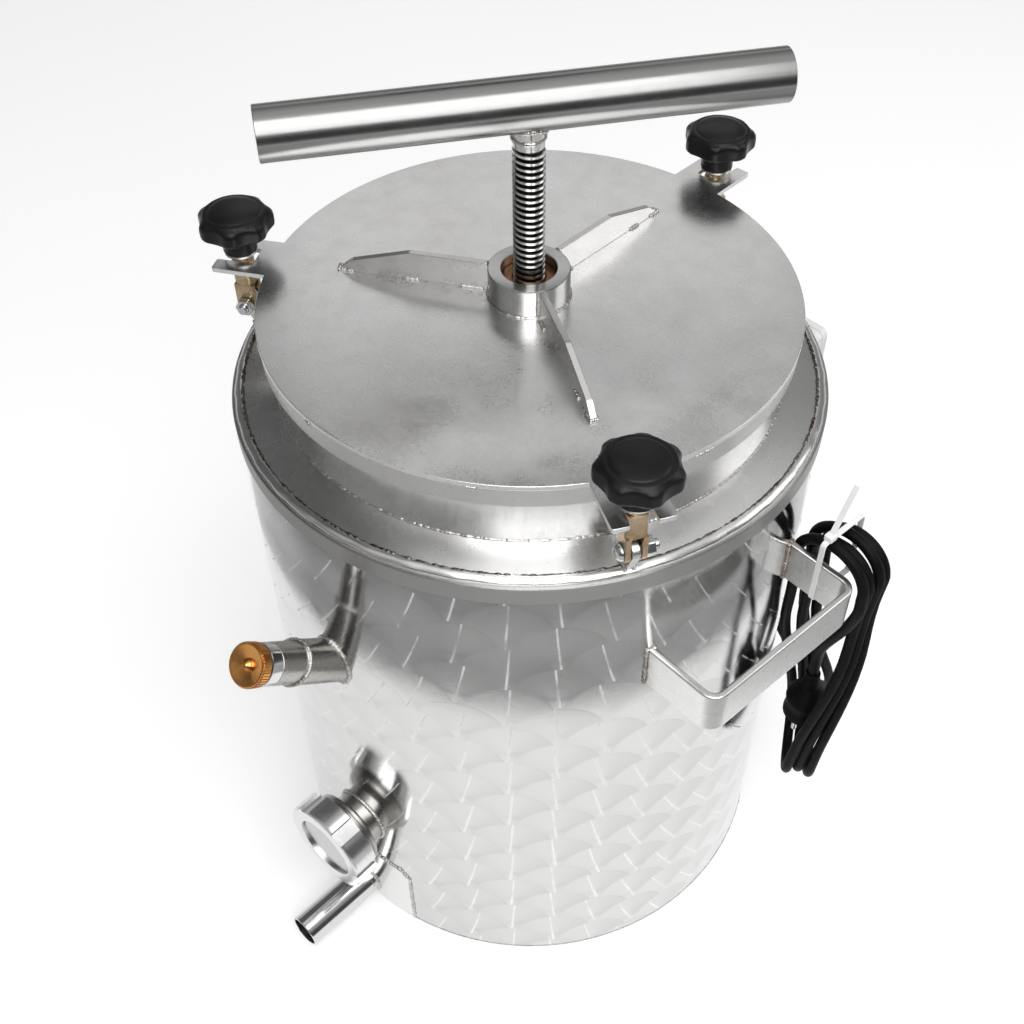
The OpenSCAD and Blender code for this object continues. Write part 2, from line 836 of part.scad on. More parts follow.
function smooth(x) = let (c = min(max(x, 0), 1)) c * c * (3 - 2 * c);

// Half width of the loop at a count of turns: out for a turn, then in again
function hank_w(turn) = hank_half_w + hank_step * (1 - abs(turn % 2 - 1));

// Layer of the loop: it climbs one along the run where the spiral reverses
function hank_layer(turn) = layer_step * ((hank_layers - 1) / 2
    - smooth((turn - 0.75) / 0.5) - smooth((turn - 1.75) / 0.5) - smooth((turn - 2.75) / 0.5));

// Below the handle the hanging loops turn about their own middle
function hank_turn(z) = hank_twist * smooth((twist_from_z - z) / (twist_from_z - twist_to_z));

function in_hank(across, layer, z) = let (a = hank_turn(z))
    [hank_t - across * sin(a) + layer * cos(a), -hank_u - across * cos(a) - layer * sin(a), z];

function drawn_in(z) = hank_waist * exp(-pow((z - 75) / 40, 2));

// Across and up within one loop, from the middle of the run beside the shell, upwards
function loop_point(w, ring) =
    let (half_run = run_rings / 2, top = half_run + fold_rings, bottom = top + run_rings)
    ring < half_run ? [-w, hank_run * ring / half_run]
    : ring < top ? let (a = 180 * (ring - half_run) / fold_rings) [-w * cos(a), hank_run + w * sin(a)]
    : ring < bottom ? [w, hank_run - 2 * hank_run * (ring - top) / run_rings]
    : ring < bottom + fold_rings ? let (a = 180 * (ring - bottom) / fold_rings)
        [w * cos(a), -hank_run - w * sin(a)]
    : [-w, hank_run * (ring - bottom - fold_rings - half_run) / half_run];

function hank_point(ring) =
    let (turn = ring / loop_rings, w = hank_w(turn), q = loop_point(w, ring % loop_rings))
    in_hank(q[0] * (1 - drawn_in(q[1]) / w), hank_layer(turn), hank_z + q[1]);

// The free end comes down inside the loops to the plug
function drop_point(k) =
    let (x = k / drop_rings, ease = smooth(x), turn = hank_last_ring / loop_rings, top = hank_z + hank_run)
    in_hank(hank_w(turn) * (1 - ease), hank_layer(turn) * (1 - ease * ease),
            top + (plug_top_z + cord_d - top) * x);

function hank_path(step) = concat(
    [for (ring = [0:step:hank_last_ring]) hank_point(ring)],
    [for (k = [1:drop_rings]) drop_point(k)],
    [[plug_t, -plug_u, plug_top_z]]);

// Least gap between stretches of the hank that lie at least a quarter of a loop apart
function least_gap(pts, apart) = min([for (i = [0:len(pts) - 1 - apart], j = [i + apart:len(pts) - 1])
    norm(pts[i] - pts[j])]) - cord_d;

// The lead runs straight into the hank over its last stretch
function cord_lead() = let (from = hank_point(0), dir = unit(hank_point(1) - from)) concat(
    cord_route, [for (p = hank_way_in) in_hank(p[0], p[1], p[2])], [from - cord_d * dir, from]);

module power_cord() {
    lead = cord_lead();
    color("black") at_az(handle_az) swept_tube(lead, [for (p = lead) [p[0], p[1], 0]], cord_r, 10);
}

module cord_hank() {
    path = hank_path(1);
    fine = hank_path(0.25);
    echo(hank_gap = least_gap(fine, loop_rings), hank_length = path_length(fine),
         lead_length = path_length(cord_lead()));
    color("black") at_az(handle_az)
        swept_tube(path, [for (p = path) let (a = hank_turn(p[2])) [cos(a), -sin(a), 0]], cord_r, 6);
}

module plug() {
    pin_r = 2.4;
    pin_gap = 19;
    color("black") at_az(handle_az) translate([plug_t, -plug_u, plug_top_z]) rotate([180, 0, 0]) {
        rotate_extrude() polygon([[0, 0], [6.5, 0], [8, 20], [13, 26], [18.5, 34], [18.5, 58], [0, 58]]);
        for (side = [-1, 1]) translate([side * pin_gap / 2, 0, 58]) cylinder(h = 19, r = pin_r);
    }
}

module cable_tie() {
    strap = 1.4;
    strap_w = 4.8;
    near_t = handle_span / 2 - handle_t - 0.2;
    far_t = hank_t + layer_step * (hank_layers - 1) / 2 + cord_r + 1;
    low = handle_z - handle_w / 2 - 0.3;
    high = hank_z + hank_run + hank_half_w + hank_step + cord_r + 1.4;
    color("white") at_az(handle_az) translate([0, -tie_u - strap_w / 2, 0]) {
        difference() {
            translate([near_t - strap, 0, low - strap])
                cube([far_t - near_t + 2 * strap, strap_w, high - low + 2 * strap]);
            translate([near_t, -1, low]) cube([far_t - near_t, strap_w + 2, high - low]);
        }
        translate([near_t + 3, -1.4, high + strap]) cube([8, 7.6, 5]);
        translate([near_t + 6, 0, high + strap + 2]) rotate([0, 26, 0]) cube([strap, strap_w, 48]);
    }
}

outer_shell();
base_plate();
shoulder_ring();
rim_band();
inner_tank();
clamp_lugs();
pivot_bolts();
handle_right();
handle_left();
filler_pipe();
filler_collar();
cap_seal();
valve_cap();
outlet_stub();
union_gasket();
blind_plug();
union_nut();
drain_spout();
spout_plate();
box_bracket();
control_box();
box_cover();
box_screws();
thermostat_body();
thermostat_probe();
thermostat_knob();
switch_frame();
rocker_switch();
pilot_lamp();
cable_gland();
heating_element();
basket();
basket_stand();
lid_plate();
lid_skirt();
lid_seal();
lid_hub();
lid_ribs();
spindle_nut();
press_plate();
press_ribs();
press_boss();
boss_cover();
spindle();
t_bar();
tbar_plugs();
clamp_fork_right();
clamp_fork_rear();
clamp_fork_left();
clamp_washer_right();
clamp_washer_rear();
clamp_washer_left();
clamp_knob_right();
clamp_knob_rear();
clamp_knob_left();
power_cord();
cord_hank();
plug();
cable_tie();
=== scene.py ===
"""Studio scene of a wax melter with a screw press in its lid.

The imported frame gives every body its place. The classes below build the finer pieces over it, in millimetres,
in the same frame: Z up, the vessel's axis at the origin, the wax outlet towards -Y.
"""

import json
import logging
import math
from dataclasses import dataclass
from enum import Enum
from typing import Callable, Iterable, Sequence

import bmesh
import bpy
from mathutils import Matrix, Vector

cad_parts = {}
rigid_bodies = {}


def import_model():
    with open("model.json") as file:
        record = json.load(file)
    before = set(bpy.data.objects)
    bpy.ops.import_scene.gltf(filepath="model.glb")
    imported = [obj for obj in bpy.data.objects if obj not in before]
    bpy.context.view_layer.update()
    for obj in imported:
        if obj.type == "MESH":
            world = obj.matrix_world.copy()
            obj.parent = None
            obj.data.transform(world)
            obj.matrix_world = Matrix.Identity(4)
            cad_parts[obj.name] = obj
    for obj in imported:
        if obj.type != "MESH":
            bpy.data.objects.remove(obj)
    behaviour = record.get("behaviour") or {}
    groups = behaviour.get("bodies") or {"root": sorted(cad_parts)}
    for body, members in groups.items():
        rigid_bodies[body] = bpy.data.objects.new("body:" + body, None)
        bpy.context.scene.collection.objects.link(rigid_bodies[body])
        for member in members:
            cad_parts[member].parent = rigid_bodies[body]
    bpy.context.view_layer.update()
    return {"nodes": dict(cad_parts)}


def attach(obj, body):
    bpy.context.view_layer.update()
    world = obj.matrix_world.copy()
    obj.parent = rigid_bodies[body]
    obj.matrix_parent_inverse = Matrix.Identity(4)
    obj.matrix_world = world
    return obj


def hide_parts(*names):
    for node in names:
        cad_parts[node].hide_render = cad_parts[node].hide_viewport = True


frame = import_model()
LOG = logging.getLogger("wax_melter")
MM = 0.001
Point2 = tuple[float, float]
Point3 = tuple[float, float, float]
Socket = bpy.types.NodeSocket

# Driving sizes, in millimetres, and directions, in degrees
SHELL_R = 235.0
SHELL_H = 547.0
TANK_R = 200.0
NECK_Z = 556.0
LID_Z = 617.0
STUD_R = 234.0
PIVOT_Z = 574.0
BOLT_HOLE_R = 4.02
FORK_HOLE_R = 4.06
CLAMP_AZ = {"right": 59.0, "rear": 179.0, "left": 299.0}
HANDLE_AZ = {"handle_right": 84.0, "handle_left": 264.0}


# Places in the vessel's frame

def turned(degrees: float, axis: str) -> Matrix:
    """Turn about one axis."""
    return Matrix.Rotation(math.radians(degrees), 4, axis)


def around(az: float) -> Matrix:
    """Turn about the vessel's axis, counted from -Y and anticlockwise from above."""
    return turned(az, "Z")


def shift(x: float, y: float, z: float) -> Matrix:
    """Move by three lengths."""
    return Matrix.Translation((x, y, z))


def outward(az: float, z: float) -> Matrix:
    """Frame whose Z runs level away from the vessel's axis at a height, its origin on that axis."""
    return around(az) @ shift(0, 0, z) @ turned(90, "X")


# Stands a flat plate up: its X points to -Y, its Y up and its Z across
STAND = turned(-90, "Z") @ turned(90, "X")


def upright(az: float, x: float = 0.0) -> Matrix:
    """Frame of a plate that stands beside a plane through the axis: X outwards, Y up, Z across."""
    return around(az) @ shift(x, 0, 0) @ STAND


# Outlines

def arc(cx: float, cy: float, r: float, start: float, end: float, steps: int) -> list[Point2]:
    """Points along a circular arc, both ends included, angles in degrees."""
    turn = [math.radians(start + (end - start) * i / steps) for i in range(steps + 1)]
    return [(cx + r * math.cos(a), cy + r * math.sin(a)) for a in turn]


def ring_outline(r: float, steps: int) -> list[Point2]:
    """A full circle as an outline, with no point repeated."""
    return arc(0, 0, r, 0, 360, steps)[:-1]


def moved(outline: Sequence[Point2], x: float, y: float) -> list[Point2]:
    """An outline moved in its plane."""
    return [(x + px, y + py) for px, py in outline]


def rounded_rect(w: float, h: float, r: float, steps: int = 6) -> list[Point2]:
    """A rectangle about the origin with round corners."""
    x, y = w / 2 - r, h / 2 - r
    return (arc(x, y, r, 0, 90, steps) + arc(-x, y, r, 90, 180, steps)
            + arc(-x, -y, r, 180, 270, steps) + arc(x, -y, r, 270, 360, steps))


def softened(points: Sequence[Point2], r: float) -> list[Point2]:
    """Round every corner of a polygon.

    Args:
        points: the polygon's corners in order.
        r: distance from each corner at which the rounding starts.

    Returns:
        The corners replaced by smooth curves.
    """
    most, steps, count = 0.45, 3, len(points)
    out: list[Point2] = []
    for i, here in enumerate(points):
        p, a, b = Vector(here), Vector(points[i - 1]), Vector(points[(i + 1) % count])
        start = p + (a - p).normalized() * min(r, (a - p).length * most)
        end = p + (b - p).normalized() * min(r, (b - p).length * most)
        for k in range(steps + 1):
            t = k / steps
            q = start * (1 - t) ** 2 + p * 2 * t * (1 - t) + end * t * t
            out.append((q.x, q.y))
    return out


# Meshes and objects

def linked(name: str, data: bpy.types.ID) -> bpy.types.Object:
    """A new object in the scene.

    Args:
        name: the object's name.
        data: its mesh, curve, lamp or camera.

    Returns:
        The object.
    """
    obj = bpy.data.objects.new(name, data)
    bpy.context.scene.collection.objects.link(obj)
    return obj


def evaluated(obj: bpy.types.Object) -> bpy.types.Mesh:
    """A plain mesh of an object with its modifiers."""
    return bpy.data.meshes.new_from_object(obj.evaluated_get(bpy.context.evaluated_depsgraph_get()))


def cleaned(mesh: bpy.types.Mesh, merge: float, sharp: float) -> None:
    """Merge doubled points, turn the faces outwards and shade them smooth.

    Args:
        mesh: the mesh, in metres.
        merge: distance within which points are one.
        sharp: angle above which an edge stays sharp, in degrees.
    """
    bm = bmesh.new()
    bm.from_mesh(mesh)
    bmesh.ops.remove_doubles(bm, verts=bm.verts, dist=merge)
    bmesh.ops.recalc_face_normals(bm, faces=bm.faces)
    bm.to_mesh(mesh)
    bm.free()
    mesh.shade_smooth()
    mesh.set_sharp_from_angle(angle=math.radians(sharp))


def settle(obj: bpy.types.Object, name: str, material: bpy.types.Material, body: str,
           nodes: Sequence[str]) -> bpy.types.Object:
    """Apply an object's modifiers, keep the plain mesh and register it.

    Args:
        obj: the object with its modifiers still live.
        name: the piece's name.
        material: its material.
        body: the body that it rides on.
        nodes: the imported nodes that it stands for.

    Returns:
        The same object with a plain mesh.
    """
    done = evaluated(obj)
    obj.modifiers.clear()
    old, obj.data = obj.data, done
    bpy.data.meshes.remove(old)
    done.name = obj.name = name
    done.materials.clear()
    done.materials.append(material)
    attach(obj, body)
    if nodes:
        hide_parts(*nodes)
    LOG.info("%s rides on %s with %d faces", name, body, len(done.polygons))
    return obj


class Solid:
    """Vertices and faces of one piece in millimetres, gathered before they become an object."""

    def __init__(self) -> None:
        """Start with nothing."""
        self.verts: list[Vector] = []
        self.faces: list[tuple[int, ...]] = []

    def add(self, verts: Iterable[Sequence[float]], faces: Iterable[Sequence[int]], place: Matrix) -> "Solid":
        """Append a shape.

        Args:
            verts: its points.
            faces: its faces, as indices of its points.
            place: matrix that places it.

        Returns:
            The solid itself.
        """
        base = len(self.verts)
        self.verts += [place @ Vector(v) for v in verts]
        self.faces += [tuple(i + base for i in f) for f in faces]
        return self

    def lathe(self, profile: Sequence[Point2], place: Matrix = Matrix(), segments: int = 96,
              swell: Callable[[float, float, float], float] | None = None, loop: bool = True) -> "Solid":
        """Turn a profile of radius against height about local Z.

        Args:
            profile: points (radius, height); a radius of 0 closes at the axis.
            place: matrix that places the turned shape.
            segments: steps round the axis.
            swell: optional new radius for an angle, radius and height.
            loop: join the last point of the profile to the first.

        Returns:
            The solid itself.
        """
        verts: list[Point3] = []
        rows: list[list[int]] = []
        for r, z in profile:
            if r < 1e-6:
                rows.append([len(verts)] * segments)
                verts.append((0, 0, z))
                continue
            row = []
            for k in range(segments):
                a = 2 * math.pi * k / segments
                rr = swell(a, r, z) if swell else r
                row.append(len(verts))
                verts.append((rr * math.cos(a), rr * math.sin(a), z))
            rows.append(row)
        faces = []
        last = len(rows) if loop else len(rows) - 1
        for i in range(last):
            one, two = rows[i], rows[(i + 1) % len(rows)]
            for k in range(segments):
                n = (k + 1) % segments
                quad = list(dict.fromkeys((one[k], one[n], two[n], two[k])))
                if len(quad) > 2:
                    faces.append(quad)
        return self.add(verts, faces, place)

    def plate(self, outlines: Sequence[Sequence[Point2]], depth: float, edge: float,
              place: Matrix, steps: int = 2) -> "Solid":
        """Thicken a flat outline evenly about local Z = 0, with rounded edges.

        Args:
            outlines: the outer outline, then any holes.
            depth: full thickness.
            edge: radius of the rounded edges.
            place: matrix that places the plate.
            steps: resolution of the rounded edges.

        Returns:
            The solid itself.
        """
        curve = bpy.data.curves.new("outline", "CURVE")
        curve.dimensions, curve.fill_mode = "2D", "BOTH"
        curve.extrude, curve.bevel_depth = depth / 2 - edge, edge
        curve.bevel_resolution, curve.offset = steps, -edge
        for outline in outlines:
            spline = curve.splines.new("POLY")
            spline.points.add(len(outline) - 1)
            for point, (x, y) in zip(spline.points, outline):
                point.co = (x, y, 0, 1)
            spline.use_cyclic_u = True
        maker = linked("outline", curve)
        mesh = evaluated(maker)
        self.add([v.co for v in mesh.vertices], [tuple(p.vertices) for p in mesh.polygons], place)
        bpy.data.objects.remove(maker)
        bpy.data.curves.remove(curve)
        bpy.data.meshes.remove(mesh)
        return self

    def block(self, w: float, d: float, h: float, corner: float, edge: float, place: Matrix) -> "Solid":
        """A box with round upright corners and rounded edges, centred on the place."""
        return self.plate([rounded_rect(w, d, corner)], h, edge, place)

    def piece(self, name: str, finish: "Finish", nodes: Sequence[str], slot: str, body: str = "vessel",
              sharp: float = 34.0) -> bpy.types.Object:
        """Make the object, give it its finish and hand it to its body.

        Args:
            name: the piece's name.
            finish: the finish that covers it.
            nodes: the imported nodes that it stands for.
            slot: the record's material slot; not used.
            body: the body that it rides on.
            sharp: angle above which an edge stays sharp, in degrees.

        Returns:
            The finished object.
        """
        mesh = bpy.data.meshes.new(name)
        mesh.from_pydata([v * MM for v in self.verts], [], self.faces)
        cleaned(mesh, 2e-6, sharp)
        obj = linked(name, mesh)
        weigh = obj.modifiers.new("weighted", "WEIGHTED_NORMAL")
        weigh.keep_sharp, weigh.weight = True, 80
        return settle(obj, name, finish.material(), body, nodes)


# Node trees

class Nodes:
    """Short calls that add and join the nodes of one tree."""

    def __init__(self, tree: bpy.types.NodeTree) -> None:
        """Keep the tree that the calls fill."""
        self.tree = tree

    def put(self, socket: Socket, value: object) -> None:
        """Fill one socket.

        Args:
            socket: the socket to fill.
            value: another socket, or a constant.
        """
        if isinstance(value, Socket):
            self.tree.links.new(value, socket)
        else:
            socket.default_value = value

    def add(self, kind: str, links: dict[str | int, object] | None = None,
            **settings: object) -> bpy.types.Node:
        """Add a node, set its properties and fill its sockets.

        Args:
            kind: the node's type.
            links: socket name or index against another socket or a constant.
            settings: properties of the node.

        Returns:
            The new node.
        """
        node = self.tree.nodes.new(kind)
        for key, value in settings.items():
            setattr(node, key, value)
        for key, value in (links or {}).items():
            self.put(node.inputs[key], value)
        return node

    def math(self, operation: str, a: object, b: object = 0.0, c: object = 0.0) -> Socket:
        """One arithmetic step."""
        return self.add("ShaderNodeMath", {0: a, 1: b, 2: c}, operation=operation).outputs[0]

    def plus(self, a: object, b: object) -> Socket:
        """The sum of two numbers."""
        return self.math("ADD", a, b)

    def minus(self, a: object, b: object) -> Socket:
        """The first number less the second."""
        return self.math("SUBTRACT", a, b)

    def times(self, a: object, b: object) -> Socket:
        """The product of two numbers."""
        return self.math("MULTIPLY", a, b)

    def vec(self, x: object, y: object, z: object = 0.0) -> Socket:
        """A vector from its parts."""
        return self.add("ShaderNodeCombineXYZ", {0: x, 1: y, 2: z}).outputs[0]


class GeometryTree(Nodes):
    """A geometry node tree with named inputs, run once on a carrier mesh."""

    def __init__(self, name: str, inputs: dict[str, str]) -> None:
        """Open an empty tree with a geometry input and output, the given inputs and one for the material.

        Args:
            name: the tree's name.
            inputs: input name against kind of socket.
        """
        super().__init__(bpy.data.node_groups.new(name, "GeometryNodeTree"))
        sockets = self.tree.interface
        sockets.new_socket("Geometry", in_out="INPUT", socket_type="NodeSocketGeometry")
        self.ids: dict[str, str] = {}
        for label, kind in {**inputs, "Material": "Material"}.items():
            made = sockets.new_socket(label, in_out="INPUT", socket_type=f"NodeSocket{kind}")
            self.ids[label] = made.identifier
        sockets.new_socket("Geometry", in_out="OUTPUT", socket_type="NodeSocketGeometry")
        self.given = self.add("NodeGroupInput").outputs

    def close(self, geometry: Socket) -> "GeometryTree":
        """Realize the instances, set the material and end the tree.

        Args:
            geometry: the last geometry of the tree.

        Returns:
            The tree itself.
        """
        real = self.add("GeometryNodeRealizeInstances", {"Geometry": geometry}).outputs[0]
        smooth = self.add("GeometryNodeSetShadeSmooth", {"Geometry": real}).outputs[0]
        skin = self.add("GeometryNodeSetMaterial", {"Geometry": smooth, "Material": self.given["Material"]})
        self.add("NodeGroupOutput", {0: skin.outputs[0]})
        return self

    def run(self, name: str, values: dict[str, object], finish: "Finish", nodes: Sequence[str], slot: str,
            body: str, place: Matrix = Matrix(), verts: Sequence[Sequence[float]] = ((0, 0, 0),),
            edges: Sequence[tuple[int, int]] = ()) -> None:
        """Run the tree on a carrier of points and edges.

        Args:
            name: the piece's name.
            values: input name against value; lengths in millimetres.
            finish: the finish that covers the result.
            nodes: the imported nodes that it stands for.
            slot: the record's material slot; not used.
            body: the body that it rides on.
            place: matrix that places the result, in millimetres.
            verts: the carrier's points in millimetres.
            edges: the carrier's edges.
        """
        mesh = bpy.data.meshes.new(name)
        mesh.from_pydata([Vector(v) for v in verts], list(edges), [])
        obj = linked(name, mesh)
        maker = obj.modifiers.new("maker", "NODES")
        maker.node_group = self.tree
        material = finish.material()
        for label, value in {**values, "Material": material}.items():
            maker[self.ids[label]] = value
        settle(obj, name, material, body, nodes)
        obj.data.transform(Matrix.Scale(MM, 4) @ place)
        cleaned(obj.data, 1e-7, 40)


def ripple_tree() -> GeometryTree:
    """Tree that lays overlapping weld ripples along a path.

    Returns:
        The tree.
    """
    t = GeometryTree("weld_ripples", {"Pitch": "Float", "Width": "Float", "Length": "Float",
                                      "Unevenness": "Float", "Seed": "Int"})
    line = t.add("GeometryNodeMeshToCurve", {0: t.given[0]}).outputs[0]
    points = t.add("GeometryNodeResampleCurve", {"Curve": line, "Length": t.given["Pitch"]}, mode="LENGTH")
    along = t.add("GeometryNodeInputTangent").outputs[0]
    face = t.add("FunctionNodeAlignRotationToVector", {"Vector": along}, axis="X")
    low, high = t.minus(1.0, t.given["Unevenness"]), t.plus(1.0, t.given["Unevenness"])
    vary = t.add("FunctionNodeRandomValue", {2: low, 3: high, "Seed": t.given["Seed"]}, data_type="FLOAT")
    wide = t.times(vary.outputs[1], t.given["Width"])
    drop = t.add("GeometryNodeMeshUVSphere", {"Segments": 10, "Rings": 7, "Radius": 1.0})
    laid = t.add("GeometryNodeInstanceOnPoints", {
        "Points": points.outputs[0], "Instance": drop.outputs[0], "Rotation": face.outputs[0],
        "Scale": t.vec(t.given["Length"], wide, wide)})
    return t.close(laid.outputs[0])


def ring_tree() -> GeometryTree:
    """Tree that sets upright ridges round an axis, as on a knurl, a cap nut or a dial.

    Returns:
        The tree.
    """
    t = GeometryTree("ring_of_ridges", {"Count": "Int", "Radius": "Float", "Ridge": "Vector"})
    circle = t.add("GeometryNodeMeshCircle", {"Vertices": t.given["Count"], "Radius": t.given["Radius"]})
    out = t.add("GeometryNodeInputPosition").outputs[0]
    face = t.add("FunctionNodeAlignRotationToVector", {"Vector": out}, axis="X", pivot_axis="Z")
    ridge = t.add("GeometryNodeMeshCube", {"Size": t.given["Ridge"]})
    laid = t.add("GeometryNodeInstanceOnPoints", {
        "Points": circle.outputs[0], "Instance": ridge.outputs[0], "Rotation": face.outputs[0]})
    return t.close(laid.outputs[0])


def thread_tree() -> GeometryTree:
    """Tree that winds a thread of trapezoid section round a core.

    Returns:
        The tree.
    """
    sunk = 0.2
    t = GeometryTree("screw_thread", {"Turns": "Float", "Pitch": "Float", "Core": "Float", "Crest": "Float",
                                      "Root Width": "Float", "Crest Width": "Float"})
    coil = t.add("GeometryNodeCurveSpiral", {
        "Resolution": 40, "Rotations": t.given["Turns"], "Start Radius": t.given["Core"],
        "End Radius": t.given["Core"], "Height": t.times(t.given["Turns"], t.given["Pitch"])})
    level = t.add("GeometryNodeSetCurveNormal", {"Curve": coil.outputs[0]}, mode="Z_UP")
    outwards = t.times(t.minus(t.given["Crest"], t.given["Core"]), -1.0)
    half_root, half_crest = (t.times(t.given[f"{end} Width"], 0.5) for end in ("Root", "Crest"))
    section = {}
    corners = ((sunk, half_root, -1.0), (outwards, half_crest, -1.0),
               (outwards, half_crest, 1.0), (sunk, half_root, 1.0))
    for i, (x, half, side) in enumerate(corners):
        section[f"Point {i + 1}"] = t.vec(x, t.times(half, side))
    outline = t.add("GeometryNodeCurvePrimitiveQuadrilateral", section, mode="POINTS")
    ridge = t.add("GeometryNodeCurveToMesh", {
        "Curve": level.outputs[0], "Profile Curve": outline.outputs[0], "Fill Caps": True})
    return t.close(ridge.outputs[0])


def screw_tree() -> GeometryTree:
    """Tree that sets slotted screw heads on the carrier's points.

    Returns:
        The tree.
    """
    t = GeometryTree("slotted_screws", {"Radius": "Float", "Height": "Float", "Slot": "Float"})
    radius, height = t.given["Radius"], t.given["Height"]
    head = t.add("GeometryNodeMeshCylinder", {"Vertices": 32, "Radius": radius, "Depth": height})
    bar = t.add("GeometryNodeMeshCube", {"Size": t.vec(t.times(radius, 3.0), t.given["Slot"], height)})
    lift = t.vec(0.0, 0.0, t.times(height, 0.55))
    slot = t.add("GeometryNodeTransform", {"Geometry": bar.outputs[0], "Translation": lift})
    cut = t.add("GeometryNodeMeshBoolean", {0: head.outputs[0], 1: slot.outputs[0]}, operation="DIFFERENCE")
    points = t.add("GeometryNodeMeshToPoints", {0: t.given[0]})
    most = 1.2
    spin = t.add("FunctionNodeRandomValue", {0: (0, 0, -most), 1: (0, 0, most), "Seed": 4},
                 data_type="FLOAT_VECTOR")
    laid = t.add("GeometryNodeInstanceOnPoints", {
        "Points": points.outputs[0], "Instance": cut.outputs[0], "Rotation": spin.outputs[0]})
    return t.close(laid.outputs[0])


# Finishes

class Grain(Enum):
    """Direction of a metal's fine lines."""

    NONE = "none"
    ROUND_AXIS = "round the vessel's axis"
    ALONG_BAR = "along the T-bar"
    LEVEL = "level"


class Shader(Nodes):
    """The nodes of one material."""

    def __init__(self, name: str) -> None:
        """Open a material with only its output and main shader.

        Args:
            name: the material's name.
        """
        self.material = bpy.data.materials.new(name)
        self.material.use_nodes = True
        super().__init__(self.material.node_tree)
        self.tree.nodes.clear()
        self.main = self.add("ShaderNodeBsdfPrincipled")
        self.add("ShaderNodeOutputMaterial", {0: self.main.outputs[0]})
        self.where = self.add("ShaderNodeTexCoord").outputs["Object"]

    def set(self, **values: object) -> None:
        """Fill sockets of the main shader; an underscore in a name stands for a space."""
        for key, value in values.items():
            self.put(self.main.inputs[key.replace("_", " ")], value)

    def total(self, *terms: tuple[object, object]) -> Socket:
        """The sum of numbers, each with a weight.

        Args:
            terms: numbers with their weights.

        Returns:
            The sum.
        """
        out = self.times(*terms[0])
        for value, weight in terms[1:]:
            out = self.plus(out, self.times(value, weight))
        return out

    def hypot(self, a: object, b: object) -> Socket:
        """Length of the slope over two numbers."""
        return self.math("SQRT", self.total((a, a), (b, b)))

    def vector(self, operation: str, *parts: object) -> Socket:
        """One vector step that gives a vector."""
        return self.add("ShaderNodeVectorMath", dict(enumerate(parts)), operation=operation).outputs[0]

    def measure(self, operation: str, *parts: object) -> Socket:
        """One vector step that gives a number."""
        return self.add("ShaderNodeVectorMath", dict(enumerate(parts)), operation=operation).outputs[1]

    def longer(self, vector: object, share: object) -> Socket:
        """A vector multiplied by a number."""
        return self.add("ShaderNodeVectorMath", {0: vector, "Scale": share}, operation="SCALE").outputs[0]

    def scaled(self, vector: object, x: float, y: float, z: float) -> Socket:
        """A vector with each part multiplied."""
        return self.vector("MULTIPLY", vector, (x, y, z))

    def noise(self, vector: object, scale: float, detail: float = 2.0, rough: float = 0.5) -> Socket:
        """Smooth noise from 0 to 1."""
        links = {"Vector": vector, "Scale": scale, "Detail": detail, "Roughness": rough}
        return self.add("ShaderNodeTexNoise", links).outputs[0]

    def span(self, value: object, a: float, b: float, c: float, d: float) -> Socket:
        """Map a number from the span a to b onto the span c to d, held at the ends."""
        return self.add("ShaderNodeMapRange", {0: value, 1: a, 2: b, 3: c, 4: d}).outputs[0]

    def tint(self, factor: object, one: object, two: object) -> Socket:
        """A colour between two colours.

        Args:
            factor: 0 for the first colour and 1 for the second.
            one: the first colour, as a socket or three numbers.
            two: the second colour, likewise.

        Returns:
            The mixed colour.
        """
        one, two = ((*c, 1) if isinstance(c, tuple) else c for c in (one, two))
        return self.add("ShaderNodeMix", {0: factor, 6: one, 7: two}, data_type="RGBA").outputs[2]

    def bump(self, height: object, strength: float, distance: float) -> None:
        """Roughen the surface by a height, its depth in metres."""
        node = self.add("ShaderNodeBump", {"Strength": strength, "Distance": distance, "Height": height})
        self.set(Normal=node.outputs[0])

    def parts(self, vector: object) -> tuple[Socket, ...]:
        """The three parts of a vector."""
        return tuple(self.add("ShaderNodeSeparateXYZ", {0: vector}).outputs)

    def from_axis(self) -> Socket:
        """Distance from the vessel's axis."""
        return self.measure("LENGTH", self.scaled(self.where, 1, 1, 0))


@dataclass(frozen=True)
class Finish:
    """A finish by name; its material is made once."""

    name: str

    def material(self) -> bpy.types.Material:
        """The material, made on the first call.

        Returns:
            The material.
        """
        known = bpy.data.materials.get(self.name)
        if known:
            return known
        shader = Shader(self.name)
        self.dress(shader)
        return shader.material

    def dress(self, s: Shader) -> None:
        """Fill the material's nodes."""
        raise NotImplementedError


